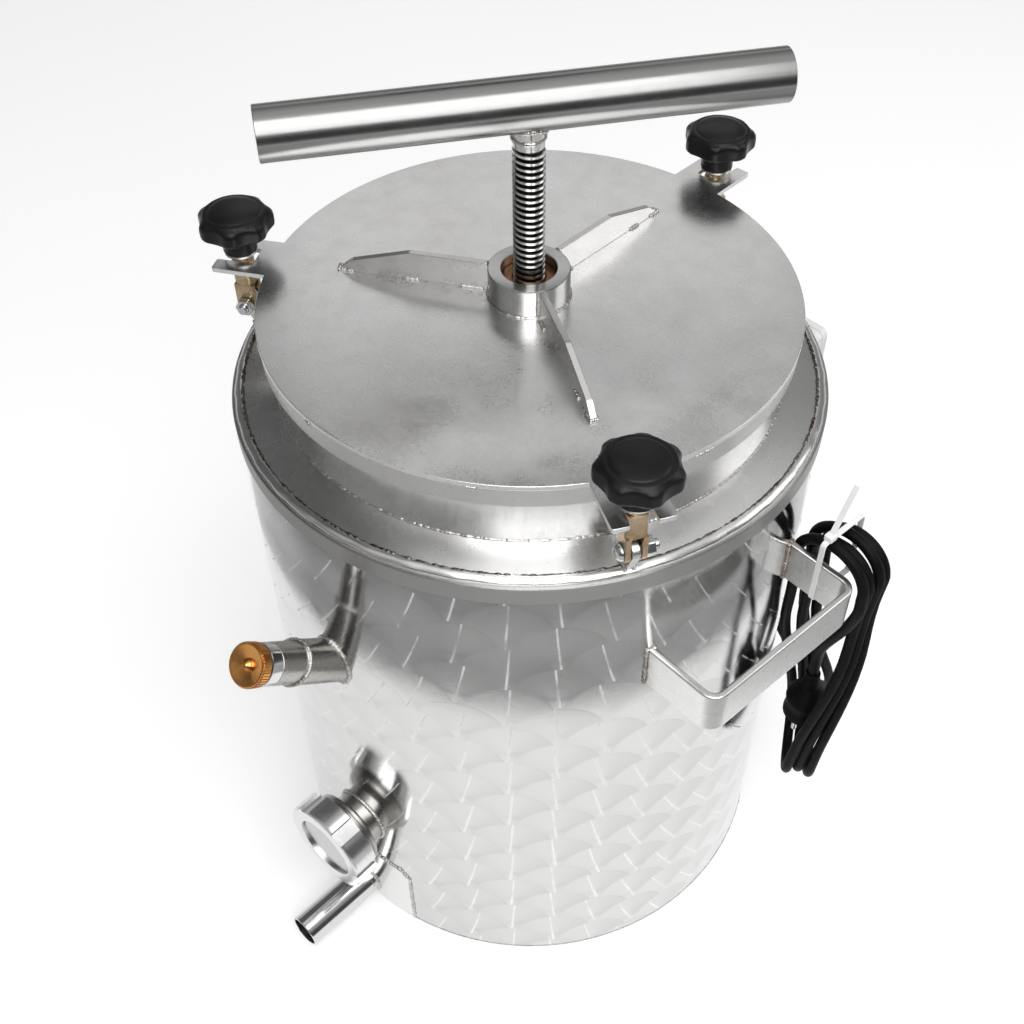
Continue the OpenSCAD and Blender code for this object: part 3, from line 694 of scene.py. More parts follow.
@dataclass(frozen=True)
class Steel(Finish):
    """Stainless steel with fine lines, cloudy wear and, where it was welded, a straw tint."""

    colour: Point3
    roughness: float
    grain: Grain
    lines: float
    clouds: float
    heat_to: float = 0.0
    speckle: float = 0.0
    relief: float = 0.02
    bar_along: Point2 = (0.5878, 0.8090)
    straw: Point3 = (0.40, 0.27, 0.15)

    def stretched(self, s: Shader) -> Socket:
        """Coordinates drawn out along the grain.

        Args:
            s: the material's nodes.

        Returns:
            The coordinates, in widths of a line.
        """
        x, y, z = s.parts(s.where)
        if self.grain is Grain.ROUND_AXIS:
            turn = s.times(s.math("ARCTAN2", x, y), 1.2)
            return s.vec(turn, s.times(z, 900.0), s.times(s.from_axis(), 900.0))
        if self.grain is Grain.ALONG_BAR:
            bx, by = self.bar_along
            along, across = s.total((x, bx), (y, by)), s.total((x, by), (y, -bx))
            return s.vec(s.times(along, 9.0), s.times(across, 700.0), s.times(z, 700.0))
        if self.grain is Grain.LEVEL:
            return s.scaled(s.where, 14.0, 14.0, 800.0)
        return s.scaled(s.where, 420.0, 420.0, 420.0)

    def dress(self, s: Shader) -> None:
        """Fill the nodes.

        Args:
            s: the material's nodes.
        """
        lines = s.noise(self.stretched(s), 1.0, 1.0)
        cloud = s.noise(s.where, 9.0, 4.0, 0.55)
        marks = s.noise(s.scaled(s.where, 1, 1, 1.6), 55.0, 2.0, 0.55)
        shade = s.total((s.minus(lines, 0.5), self.lines), (s.minus(cloud, 0.5), self.clouds * 2))
        if self.speckle:
            smudge = s.noise(s.scaled(s.where, 1.0, 2.2, 1.0), 26.0, 3.0, 0.55)
            both = s.total((s.noise(s.where, 300.0, 0.0), 1.0), (smudge, 0.8))
            shade = s.plus(shade, s.times(s.minus(both, 0.9), self.speckle))
        dark = tuple(c * 0.72 for c in self.colour)
        light = tuple(min(1.0, c * 1.18) for c in self.colour)
        colour = s.tint(s.plus(shade, 0.5), dark, light)
        if self.heat_to:
            near = s.span(s.from_axis(), SHELL_R * MM + 0.001, self.heat_to, 1.0, 0.0)
            warm = s.times(near, s.span(s.noise(s.where, 120.0, 3.0), 0.35, 0.65, 0.2, 1.0))
            colour = s.tint(s.times(warm, 0.5), colour, self.straw)
        rough = s.plus(s.plus(s.times(shade, 0.16), self.roughness), s.span(marks, 0.40, 0.80, 0.0, 0.05))
        s.set(Base_Color=colour, Metallic=1.0, Roughness=rough)
        if self.grain is Grain.ROUND_AXIS:
            out = s.vector("NORMALIZE", s.scaled(s.where, 1, 1, 0))
            s.set(Anisotropic=0.75, Tangent=s.vector("ADD", out, (0, 0, 1)))
        s.bump(lines, self.relief, 0.0004)


@dataclass(frozen=True)
class Thread(Finish):
    """Screw thread about the vessel's axis, its crests bright and its grooves darkened with painted shade."""

    root: float = 0.0103
    crest: float = 0.0118
    # Colour of the painted shade in the thread's grooves.
    painted_groove_shade: Point3 = (0.05, 0.045, 0.04)
    bright: Point3 = (0.84, 0.84, 0.83)

    def dress(self, s: Shader) -> None:
        """Fill the nodes.

        Args:
            s: the material's nodes.
        """
        worn = s.noise(s.where, 160.0, 4.0, 0.6)
        # Painted shade: the colour darkens from crest to root, where shade falls in the grooves, with random
        # wear mixed in.
        unshaded_and_worn = s.plus(s.span(s.from_axis(), self.root, self.crest, 0.0, 0.85), s.times(worn, 0.2))
        s.set(Base_Color=s.tint(unshaded_and_worn, self.painted_groove_shade, self.bright), Metallic=1.0,
              Roughness=s.plus(s.times(worn, 0.16), 0.10))
        s.bump(worn, 0.05, 0.0003)


@dataclass(frozen=True)
class EngineTurned(Finish):
    """Bright sheet covered with overlapping turned spots, laid in staggered rows, the lower on top, each spot
    with a painted highlight streak and painted sheen and shade set for one fixed light direction.
    """

    wall_r: float = SHELL_R * MM
    columns: int = 38
    row: float = 0.0245
    spot_r: float = 0.0372
    # Azimuth of the fixed light that the spots' painted highlights and painted shade are set for, in degrees.
    painted_light_az: float = 42.0
    # dark and light bound the sheet's tone, which holds real grain, clouds and rim lines as well as the spots'
    # painted sheen and shade.
    dark: Point3 = (0.42, 0.42, 0.415)
    light: Point3 = (0.77, 0.77, 0.765)
    # Colour of the painted highlight streak.
    painted_glint: Point3 = (0.97, 0.97, 0.965)

    def spot(self, s: Shader, u: object, v: object, k: object) -> tuple[Socket, ...]:
        """The spot of row k nearest to a point.

        Args:
            s: the material's nodes.
            u: length round the wall.
            v: height.
            k: the row's number.

        Returns:
            Offset along the wall, offset in height, and 1 where the point lies in the spot.
        """
        gap = 2 * 2 * math.pi * self.wall_r / self.columns
        odd = s.times(s.math("FLOORED_MODULO", k, 2.0), gap / 2)
        past = s.math("FLOORED_MODULO", s.plus(s.minus(u, odd), gap / 2), gap)
        du, dv = s.minus(past, gap / 2), s.minus(v, s.times(k, self.row))
        return du, dv, s.math("LESS_THAN", s.hypot(du, dv), self.spot_r)

    def dress(self, s: Shader) -> None:
        """Fill the nodes.

        Args:
            s: the material's nodes.
        """
        x, y, z = s.parts(s.where)
        u = s.times(s.math("ARCTAN2", x, s.times(y, -1.0)), self.wall_r)
        k0 = s.math("FLOOR", s.math("DIVIDE", z, self.row))
        below, level, above = (self.spot(s, u, z, s.plus(k0, step)) for step in (-1.0, 0.0, 1.0))

        def choose(i: int) -> Socket:
            """Take the lowest spot that holds the point."""
            upper = s.add("ShaderNodeMix", {0: level[2], 2: above[i], 3: level[i]}).outputs[0]
            return s.add("ShaderNodeMix", {0: below[2], 2: upper, 3: below[i]}).outputs[0]

        du, dv = choose(0), choose(1)
        far, turn = s.hypot(du, dv), s.math("ARCTAN2", du, dv)
        # Painted light: lean is the angle of each spot's painted highlight, set by the fixed light azimuth. The
        # fan term paints sheen, and the half term paints one side of the spot lighter and the other darker
        # about that angle.
        lean = s.math("SINE", s.minus(math.radians(self.painted_light_az), s.math("DIVIDE", u, self.wall_r)))
        painted_fan_sheen = s.math("COSINE", s.times(s.minus(turn, lean), 2.0))
        half = s.math("SINE", s.minus(turn, lean))
        fine = s.noise(s.vec(s.times(far, 2600.0), s.times(turn, 1.5)), 1.0, 3.0, 0.6)
        # A painted highlight streak along the lean through each spot's middle, broken by noise.
        beside = s.math("ABSOLUTE", s.minus(du, s.times(lean, dv)))
        broken = s.span(s.noise(s.where, 42.0), 0.36, 0.62, 0.15, 1.0)
        painted_highlight_streak = s.times(s.span(beside, 0.0003, 0.0015, 1.0, 0.0), broken)
        edge = s.span(far, self.spot_r * 0.93, self.spot_r, 0.0, 1.0)
        cloud = s.noise(s.scaled(s.where, 1, 1, 0.6), 7.0, 3.0)
        # The tone mixes real grain, clouds and rim lines with the painted fan of sheen and the painted half
        # shade.
        shade = s.total((painted_fan_sheen, 0.07), (s.minus(fine, 0.5), 0.12), (half, -0.06), (s.minus(cloud, 0.5), 0.16),
                        (edge, -0.07))
        sheet = s.tint(s.plus(shade, 0.5), self.dark, self.light)
        rough = s.plus(s.minus(0.10, s.times(painted_fan_sheen, 0.015)), s.times(painted_highlight_streak, 0.3))
        across = s.vec(s.math("DIVIDE", s.times(y, -1.0), self.wall_r), s.math("DIVIDE", x, self.wall_r))
        brushed = s.vector("ADD", s.longer(across, du), s.vec(0.0, 0.0, dv))
        # The painted highlight streak is mixed towards the glint colour.
        s.set(Base_Color=s.tint(s.times(painted_highlight_streak, 0.75), sheet, self.painted_glint), Metallic=1.0, Roughness=rough,
              Anisotropic=0.55, Tangent=s.vector("NORMALIZE", brushed))
        s.bump(s.plus(fine, s.times(edge, -0.6)), 0.05, 0.0004)


@dataclass(frozen=True)
class Weld(Finish):
    """Raw weld metal, bright on its ripples and brown beside them."""

    brown: float
    bright: float = 1.0
    low: Point3 = (0.44, 0.43, 0.42)
    high: Point3 = (0.78, 0.77, 0.75)
    burnt: Point3 = (0.26, 0.18, 0.11)

    def dress(self, s: Shader) -> None:
        """Fill the nodes.

        Args:
            s: the material's nodes.
        """
        colours = (self.low, self.high, self.burnt)
        low, high, burnt = (tuple(c * self.bright for c in colour) for colour in colours)
        grain = s.noise(s.where, 420.0, 4.0, 0.65)
        warm = s.times(s.span(s.noise(s.where, 60.0, 3.0), 0.42, 0.66, 0.0, 1.0), self.brown)
        s.set(Base_Color=s.tint(warm, s.tint(grain, low, high), burnt), Metallic=1.0,
              Roughness=s.span(grain, 0.3, 0.7, 0.16, 0.36))
        s.bump(grain, 0.25, 0.0005)


@dataclass(frozen=True)
class TurnedMetal(Finish):
    """Metal faced in a lathe, its fine rings about a local axis."""

    colour: Point3
    dark: Point3
    centre: Point3
    axis: Point3 = (0.0, 0.0, 1.0)
    roughness: float = 0.24
    rings: float = 3200.0

    def dress(self, s: Shader) -> None:
        """Fill the nodes.

        Args:
            s: the material's nodes.
        """
        off = s.vector("SUBTRACT", s.where, self.centre)
        along = s.measure("DOT_PRODUCT", off, self.axis)
        out = s.vector("SUBTRACT", off, s.longer(self.axis, along))
        far = s.measure("LENGTH", out)
        rings = s.noise(s.vec(s.times(far, self.rings), s.times(along, self.rings)), 1.0, 2.0, 0.6)
        stain = s.noise(s.where, 130.0, 4.0, 0.6)
        mixed = s.span(s.total((rings, 0.45), (stain, 0.65)), 0.3, 0.75, 0.0, 1.0)
        s.set(Base_Color=s.tint(mixed, self.dark, self.colour), Metallic=1.0,
              Roughness=s.plus(s.times(stain, 0.16), self.roughness - 0.08),
              Anisotropic=0.7, Tangent=s.vector("ADD", s.vector("NORMALIZE", out), self.axis))
        s.bump(rings, 0.08, 0.0003)


@dataclass(frozen=True)
class YellowZinc(Finish):
    """Yellow passivated plating, clouded and a little rosy in places."""

    deep: Point3 = (0.44, 0.31, 0.18)
    pale: Point3 = (0.66, 0.53, 0.36)
    rose: Point3 = (0.52, 0.36, 0.29)

    def dress(self, s: Shader) -> None:
        """Fill the nodes.

        Args:
            s: the material's nodes.
        """
        fine = s.noise(s.where, 900.0, 3.0, 0.6)
        gold = s.tint(s.span(s.noise(s.where, 70.0, 3.0, 0.6), 0.35, 0.65, 0.0, 1.0), self.deep, self.pale)
        rosy = s.tint(s.span(s.noise(s.where, 140.0), 0.55, 0.72, 0.0, 0.5), gold, self.rose)
        s.set(Base_Color=rosy, Metallic=1.0, Roughness=s.span(fine, 0.3, 0.7, 0.24, 0.40))
        s.bump(fine, 0.10, 0.0003)


@dataclass(frozen=True)
class Plastic(Finish):
    """Moulded plastic with a fine grain and handled patches."""

    colour: Point3 = (0.006, 0.006, 0.006)
    worn: Point3 = (0.012, 0.012, 0.0125)
    roughness: float = 0.29
    grain: float = 1300.0
    depth: float = 0.10
    gloss: float = 0.22

    def dress(self, s: Shader) -> None:
        """Fill the nodes.

        Args:
            s: the material's nodes.
        """
        fine = s.noise(s.where, self.grain)
        hands = s.noise(s.where, 34.0, 4.0, 0.6)
        s.set(Base_Color=s.tint(s.span(hands, 0.38, 0.72, 0.0, 1.0), self.colour, self.worn),
              Roughness=s.plus(s.times(hands, 0.16), self.roughness - 0.08), Specular_IOR_Level=self.gloss)
        s.bump(fine, self.depth, 0.0003)


@dataclass(frozen=True)
class Rubber(Finish):
    """Matt rubber with dust in its fine texture."""

    colour: Point3 = (0.004, 0.004, 0.004)
    dusty: Point3 = (0.009, 0.009, 0.0088)
    roughness: float = 0.5
    gloss: float = 0.10

    def dress(self, s: Shader) -> None:
        """Fill the nodes.

        Args:
            s: the material's nodes.
        """
        fine = s.noise(s.where, 1500.0, 3.0, 0.6)
        dust = s.noise(s.where, 60.0, 5.0, 0.65)
        s.set(Base_Color=s.tint(s.span(dust, 0.45, 0.75, 0.0, 1.0), self.colour, self.dusty),
              Roughness=s.plus(s.times(dust, 0.2), self.roughness - 0.1), Specular_IOR_Level=self.gloss)
        s.bump(fine, 0.18, 0.0004)


@dataclass(frozen=True)
class Lens(Finish):
    """Tinted lamp lens, ribbed inside."""

    deep: Point3 = (0.62, 0.22, 0.01)
    pale: Point3 = (0.92, 0.46, 0.06)
    ribs: float = 5200.0

    def dress(self, s: Shader) -> None:
        """Fill the nodes.

        Args:
            s: the material's nodes.
        """
        ribs = s.math("SINE", s.times(s.parts(s.where)[2], self.ribs))
        s.set(Base_Color=s.tint(s.math("MULTIPLY_ADD", ribs, 0.5, 0.5), self.deep, self.pale),
              Roughness=0.14, Coat_Weight=0.6, Coat_Roughness=0.05)
        s.bump(ribs, 0.15, 0.0004)


class Finishes:
    """The finishes of the melter, by what they cover."""

    # The shell's finish paints highlights and shade into its turned spots.
    SHELL = EngineTurned("turned_spot_sheet_painted_sheen")
    BAND = Steel("hoop_band_steel", (0.42, 0.42, 0.412), 0.34, Grain.ROUND_AXIS, 0.16, 0.10)
    SHOULDER = Steel("shoulder_satin_steel", (0.80, 0.795, 0.785), 0.26, Grain.ROUND_AXIS, 0.06, 0.14,
                     relief=0.003)
    NECK = Steel("neck_polished_steel", (0.88, 0.88, 0.87), 0.20, Grain.ROUND_AXIS, 0.06, 0.10, relief=0.003)
    LID = Steel("lid_satin_steel", (0.91, 0.895, 0.87), 0.25, Grain.NONE, 0.03, 0.95, speckle=0.24,
                relief=0.0)
    RIM = Steel("skirt_ground_steel", (0.72, 0.72, 0.71), 0.24, Grain.ROUND_AXIS, 0.10, 0.08, relief=0.006)
    RIB = Steel("rib_plate_steel", (0.72, 0.71, 0.70), 0.24, Grain.NONE, 0.14, 0.16)
    HUB = Steel("hub_turned_steel", (0.56, 0.56, 0.55), 0.20, Grain.ROUND_AXIS, 0.18, 0.06)
    # The thread's finish paints shade into its grooves.
    SCREW = Thread("spindle_thread_steel")
    BAR = Steel("bar_brushed_steel", (0.30, 0.30, 0.295), 0.22, Grain.ALONG_BAR, 0.30, 0.16)
    HANDLE = Steel("handle_brushed_steel", (0.82, 0.82, 0.81), 0.27, Grain.LEVEL, 0.10, 0.10, heat_to=0.246,
                   relief=0.006)
    PIPE = Steel("filler_dark_steel", (0.45, 0.44, 0.42), 0.26, Grain.NONE, 0.16, 0.20)
    BRIGHT = Steel("polished_steel", (0.70, 0.70, 0.695), 0.13, Grain.NONE, 0.08, 0.12, relief=0.008)
    NUT = Steel("union_nut_steel", (0.76, 0.76, 0.755), 0.24, Grain.NONE, 0.06, 0.12, relief=0.004)
    PLUGGED = Steel("union_face_steel", (0.50, 0.50, 0.50), 0.16, Grain.NONE, 0.10, 0.12)
    ZINC = Steel("bright_zinc", (0.70, 0.71, 0.72), 0.22, Grain.NONE, 0.10, 0.14)
    INSET = Steel("inset_plate_steel", (0.80, 0.80, 0.79), 0.17, Grain.NONE, 0.10, 0.12)
    ROLLED = Steel("rolled_edge_steel", (0.80, 0.795, 0.785), 0.24, Grain.ROUND_AXIS, 0.18, 0.16)
    INSIDE = Steel("inner_plain_steel", (0.55, 0.55, 0.54), 0.32, Grain.ROUND_AXIS, 0.16, 0.10)
    HEATER = Steel("heater_tube_steel", (0.40, 0.34, 0.27), 0.36, Grain.NONE, 0.14, 0.24)
    SCALE = Weld("dark_weld_scale", 1.0, 0.30)
    BEAD = Weld("raw_weld_bead", 0.25)
    TACK = Weld("browned_weld_bead", 0.85)
    GOLD = YellowZinc("yellow_zinc")
    BRONZE = TurnedMetal("oiled_bronze", (0.38, 0.19, 0.10), (0.16, 0.08, 0.04), (0, 0, 0.62), roughness=0.34)
    BLACK = Plastic("black_moulded_plastic")
    PALE = Plastic("pale_box_plastic", (0.80, 0.81, 0.80), (0.70, 0.71, 0.70), 0.42, 1500.0, 0.12)
    RED = Plastic("red_rocker_plastic", (0.50, 0.02, 0.015), (0.62, 0.05, 0.035), 0.26, 1800.0, 0.05)
    MARKS = Plastic("pale_dial_marks", (0.82, 0.82, 0.80), (0.66, 0.66, 0.64), 0.45, 1500.0, 0.08)
    NYLON = Plastic("white_nylon", (0.93, 0.93, 0.93), (0.86, 0.86, 0.85), 0.36, 1200.0, 0.06)
    CORD = Rubber("cord_dusty_rubber")
    PLUG = Rubber("plug_rubber", (0.006, 0.006, 0.006), (0.016, 0.016, 0.016), 0.5, 0.06)
    SEAL = Rubber("pale_silicone", (0.80, 0.79, 0.75), (0.66, 0.64, 0.58), 0.5, 0.3)
    FIBRE = Rubber("brown_fibre", (0.09, 0.05, 0.03), (0.14, 0.09, 0.06), 0.62, 0.1)
    LENS = Lens("amber_lens")


# Studio

def grey(level: float) -> tuple[float, float, float, float]:
    """A grey as a colour."""
    return level, level, level, 1.0


@dataclass(frozen=True)
class Lamp:
    """One soft lamp that looks at a point on the vessel's axis; lengths in metres."""

    name: str
    at: Point3
    aim_z: float
    size: Point2
    watts: float

    def build(self) -> None:
        """Hang the lamp."""
        data = bpy.data.lights.new(self.name, "AREA")
        data.shape, data.energy = "RECTANGLE", self.watts
        data.size, data.size_y = self.size
        obj = linked(self.name, data)
        obj.location = self.at
        obj.rotation_mode = "QUATERNION"
        obj.rotation_quaternion = (Vector((0, 0, self.aim_z)) - Vector(self.at)).to_track_quat("-Z", "Y")
        obj.visible_camera = False


@dataclass
class Studio:
    """Camera, floor, surroundings, cards and lamps; lengths in metres."""

    eye: Point3 = (0.5278, -0.5862, 1.2039)
    right: Point3 = (0.7375, 0.67526, -0.01102)
    up: Point3 = (-0.48361, 0.53943, 0.6893)
    lens: float = 44.65
    floor_half: float = 6.0
    floor_z: float = -0.0005
    floor_glow: float = 0.28
    horizon: float = 0.55
    walls: float = 0.19
    ceiling: float = 0.92
    lamps: tuple[Lamp, ...] = (Lamp("front", (1.01, -0.735, 2.155), 0.6, (1.7, 1.9), 33),
                               Lamp("back", (-1.88, 1.58, 2.15), 0.6, (2.7, 0.8), 3.6),
                               Lamp("window", (1.5, 1.75, 2.15), 0.5, (1.5, 1.5), 11))

    def camera(self) -> None:
        """Set the camera at the photograph's place."""
        data = bpy.data.cameras.new("camera")
        data.lens, data.sensor_width, data.clip_end = self.lens, 36.0, 60.0
        x, y = Vector(self.right).normalized(), Vector(self.up).normalized()
        z = x.cross(y).normalized()
        turn = Matrix((x, z.cross(x), z)).transposed().to_4x4()
        cam = linked("camera", data)
        cam.matrix_world = Matrix.Translation(self.eye) @ turn
        bpy.context.scene.camera = cam

    def surroundings(self) -> None:
        """Pale along the horizon, darker walls above it and a bright ceiling."""
        world = bpy.data.worlds.new("studio")
        world.use_nodes = True
        bpy.context.scene.world = world
        n = Nodes(world.node_tree)
        n.tree.nodes.clear()
        where = n.add("ShaderNodeTexCoord").outputs["Generated"]
        ramp = n.add("ShaderNodeValToRGB", {0: n.add("ShaderNodeSeparateXYZ", {0: where}).outputs[2]})
        stops = ramp.color_ramp.elements
        stops[0].color, stops[1].color = grey(self.horizon), grey(self.ceiling)
        between = ((0.07, self.horizon), (0.16, self.walls), (0.45, self.walls), (0.70, 0.36), (0.88, 0.78))
        for at, level in between:
            stops.new(at).color = grey(level)
        light = n.add("ShaderNodeBackground", {0: ramp.outputs[0], 1: 1.0})
        n.add("ShaderNodeOutputWorld", {0: light.outputs[0]})

    def floor(self) -> None:
        """A plain pale floor that keeps the shadow."""
        s = Shader("pale_floor")
        rays = s.add("ShaderNodeLightPath").outputs
        seen = s.math("MAXIMUM", s.math("MAXIMUM", rays["Is Camera Ray"], rays["Is Glossy Ray"]),
                      rays["Is Transmission Ray"])
        s.set(Base_Color=s.tint(s.noise(s.where, 1.5), (0.90, 0.90, 0.90), (0.93, 0.93, 0.93)), Roughness=0.9,
              Specular_IOR_Level=0.0, Emission_Color=grey(1.0),
              Emission_Strength=s.times(seen, self.floor_glow))
        h, z = self.floor_half, self.floor_z
        mesh = bpy.data.meshes.new("floor")
        mesh.from_pydata([(-h, -h, z), (h, -h, z), (h, h, z), (-h, h, z)], [], [(0, 1, 2, 3)])
        mesh.materials.append(s.material)
        linked("floor", mesh)

    def card(self, name: str, rows: Sequence[Sequence[Point3]], greys: Sequence[float]) -> None:
        """A grey card that is seen only in the metal's reflections.

        Args:
            name: what the card is called.
            rows: two rows of points along the card's long sides.
            greys: the grey at each point of a row.
        """
        s = Shader(f"{name}_grey")
        tone = s.add("ShaderNodeAttribute", attribute_name="grey").outputs["Fac"]
        uneven = s.span(s.noise(s.where, 5.0), 0.0, 1.0, 0.8, 1.2)
        s.set(Base_Color=s.tint(s.times(tone, uneven), (0, 0, 0), (1, 1, 1)), Roughness=0.9)
        count = len(greys)
        mesh = bpy.data.meshes.new(name)
        faces = [(i, i + 1, count + i + 1, count + i) for i in range(count - 1)]
        mesh.from_pydata([*rows[0], *rows[1]], [], faces)
        mesh.attributes.new("grey", "FLOAT", "POINT").data.foreach_set("value", [*greys, *greys])
        mesh.materials.append(s.material)
        obj = linked(name, mesh)
        obj.visible_camera = obj.visible_diffuse = obj.visible_shadow = False

    def round_card(self, name: str, inner: Point2, outer: Point2, ends: Point2, tone: float,
                   fade: Point2) -> None:
        """A card bent round the vessel, which fades into its surroundings past both ends.

        Args:
            name: what the card is called.
            inner: radius and height of its first edge.
            outer: radius and height of its second edge.
            ends: azimuths between which it has its full grey, in degrees.
            tone: its full grey.
            fade: the degrees over which it fades, and the grey that it fades to.
        """
        over, open_grey = fade
        turns = range(int(ends[0] - over), int(ends[1] + over) + 1, 3)
        past = [max(ends[0] - a, a - ends[1], 0) / over for a in turns]
        rows = [[(r * math.sin(math.radians(a)), -r * math.cos(math.radians(a)), z) for a in turns]
                for r, z in (inner, outer)]
        self.card(name, rows, [tone + (open_grey - tone) * share for share in past])

    def flags(self) -> None:
        """Cards on the floor before the vessel, upright behind them, to its left and high at its back."""
        rings = ((0.520, 0.535, 0.16), (0.535, 0.565, 0.46), (0.565, 0.580, 0.24), (0.580, 0.640, 0.48),
                 (0.640, 0.745, 0.30), (0.745, 1.800, 0.60))
        for k, (inner, outer, tone) in enumerate(rings):
            self.round_card(f"floor_card_{k}", (inner, 0.0005), (outer, 0.0005), (-40, 122), tone, (45, 0.9))
        self.round_card("front_card", (2.4, 0.05), (2.4, 1.35), (8, 120), 0.08, (16, 0.45))
        side, ahead, behind, low, high, over = -2.0, -1.6, 1.0, 0.01, 0.8, 4.0
        for name, foot, top, tone in (("low_left_card", low, high, 0.70), ("left_card", high, over, 0.13)):
            self.card(name, [[(side, ahead, z), (side, behind, z)] for z in (foot, top)], (tone, tone))
        back = [[(-1.06, 1.55, 2.29), (-1.52, 1.13, 2.29)], [(-0.84, 1.23, 2.67), (-1.21, 0.89, 2.67)]]
        self.card("back_card", back, (0.04, 0.04))
        overhead = [[(x, ahead, over), (x, 0.45, over)] for x in (side, -1.15)]
        self.card("over_left_card", overhead, (0.13, 0.13))

    def build(self) -> None:
        """Make the whole studio."""
        bpy.context.scene.view_settings.view_transform = "Standard"
        self.camera()
        self.surroundings()
        self.floor()
        self.flags()
        for lamp in self.lamps:
            lamp.build()


# The melter

@dataclass
class Trees:
    """The node trees that the sub-assemblies share."""

    ripples: GeometryTree
    ring: GeometryTree
    thread: GeometryTree
    screws: GeometryTree


@dataclass
class Assembly:
    """A sub-assembly of the melter."""

    trees: Trees

    def weld(self, name: str, path: Sequence[Sequence[float]], width: float, closed: bool = False,
             pitch: float = 0.0, seed: int = 1, slot: str = "satin_steel", body: str = "vessel",
             finish: Finish = Finishes.BEAD, uneven: float = 0.12, blend: float = 1.4) -> None:
        """Lay a weld along a path.

        Args:
            name: the piece's name.
            path: points in millimetres.
            width: half width of the bead.
            closed: join the last point to the first.
            pitch: distance between ripples, or 0 for one that suits the width.
            seed: seed of the ripples' unevenness.
            slot: the record's material slot.
            body: the body that it rides on.
            finish: the bead's finish.
            uneven: how much the ripples differ.
            blend: length of a ripple over the distance between ripples.
        """
        count = len(path)
        edges = [(i, (i + 1) % count) for i in range(count if closed else count - 1)]
        step = pitch or width * 0.75
        values = {"Pitch": step, "Width": width, "Length": step * blend, "Unevenness": uneven, "Seed": seed}
        self.trees.ripples.run(name, values, finish, (), slot, body, verts=path, edges=edges)


def circle_path(r: float, place: Matrix, steps: int) -> list[Vector]:
    """Points of a circle about local Z, placed by a matrix."""
    return [place @ Vector((x, y, 0)) for x, y in ring_outline(r, steps)]


def on_wall(place: Matrix, r: float, wall_r: float) -> list[Vector]:
    """Where a round pipe meets the upright wall of the vessel.

    Args:
        place: frame whose Z is the pipe's axis, pointing outwards.
        r: the pipe's radius.
        wall_r: the wall's radius.

    Returns:
        The closed line of the joint.
    """
    path, steps = [], 72
    d = (place.to_3x3() @ Vector((0, 0, 1))).normalized()
    for x, y in ring_outline(r, steps):
        p = place @ Vector((x, y, 0))
        a = d.x ** 2 + d.y ** 2
        b = p.x * d.x + p.y * d.y
        c = p.x ** 2 + p.y ** 2 - wall_r ** 2
        path.append(p + d * ((-b + math.sqrt(b * b - a * c)) / a))
    return path


def cover(node: str, finish: Finish) -> None:
    """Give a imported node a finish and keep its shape.

    Args:
        node: the node's name.
        finish: the finish that covers it.
    """
    mesh = frame["nodes"][node].data
    mesh.materials.clear()
    mesh.materials.append(finish.material())


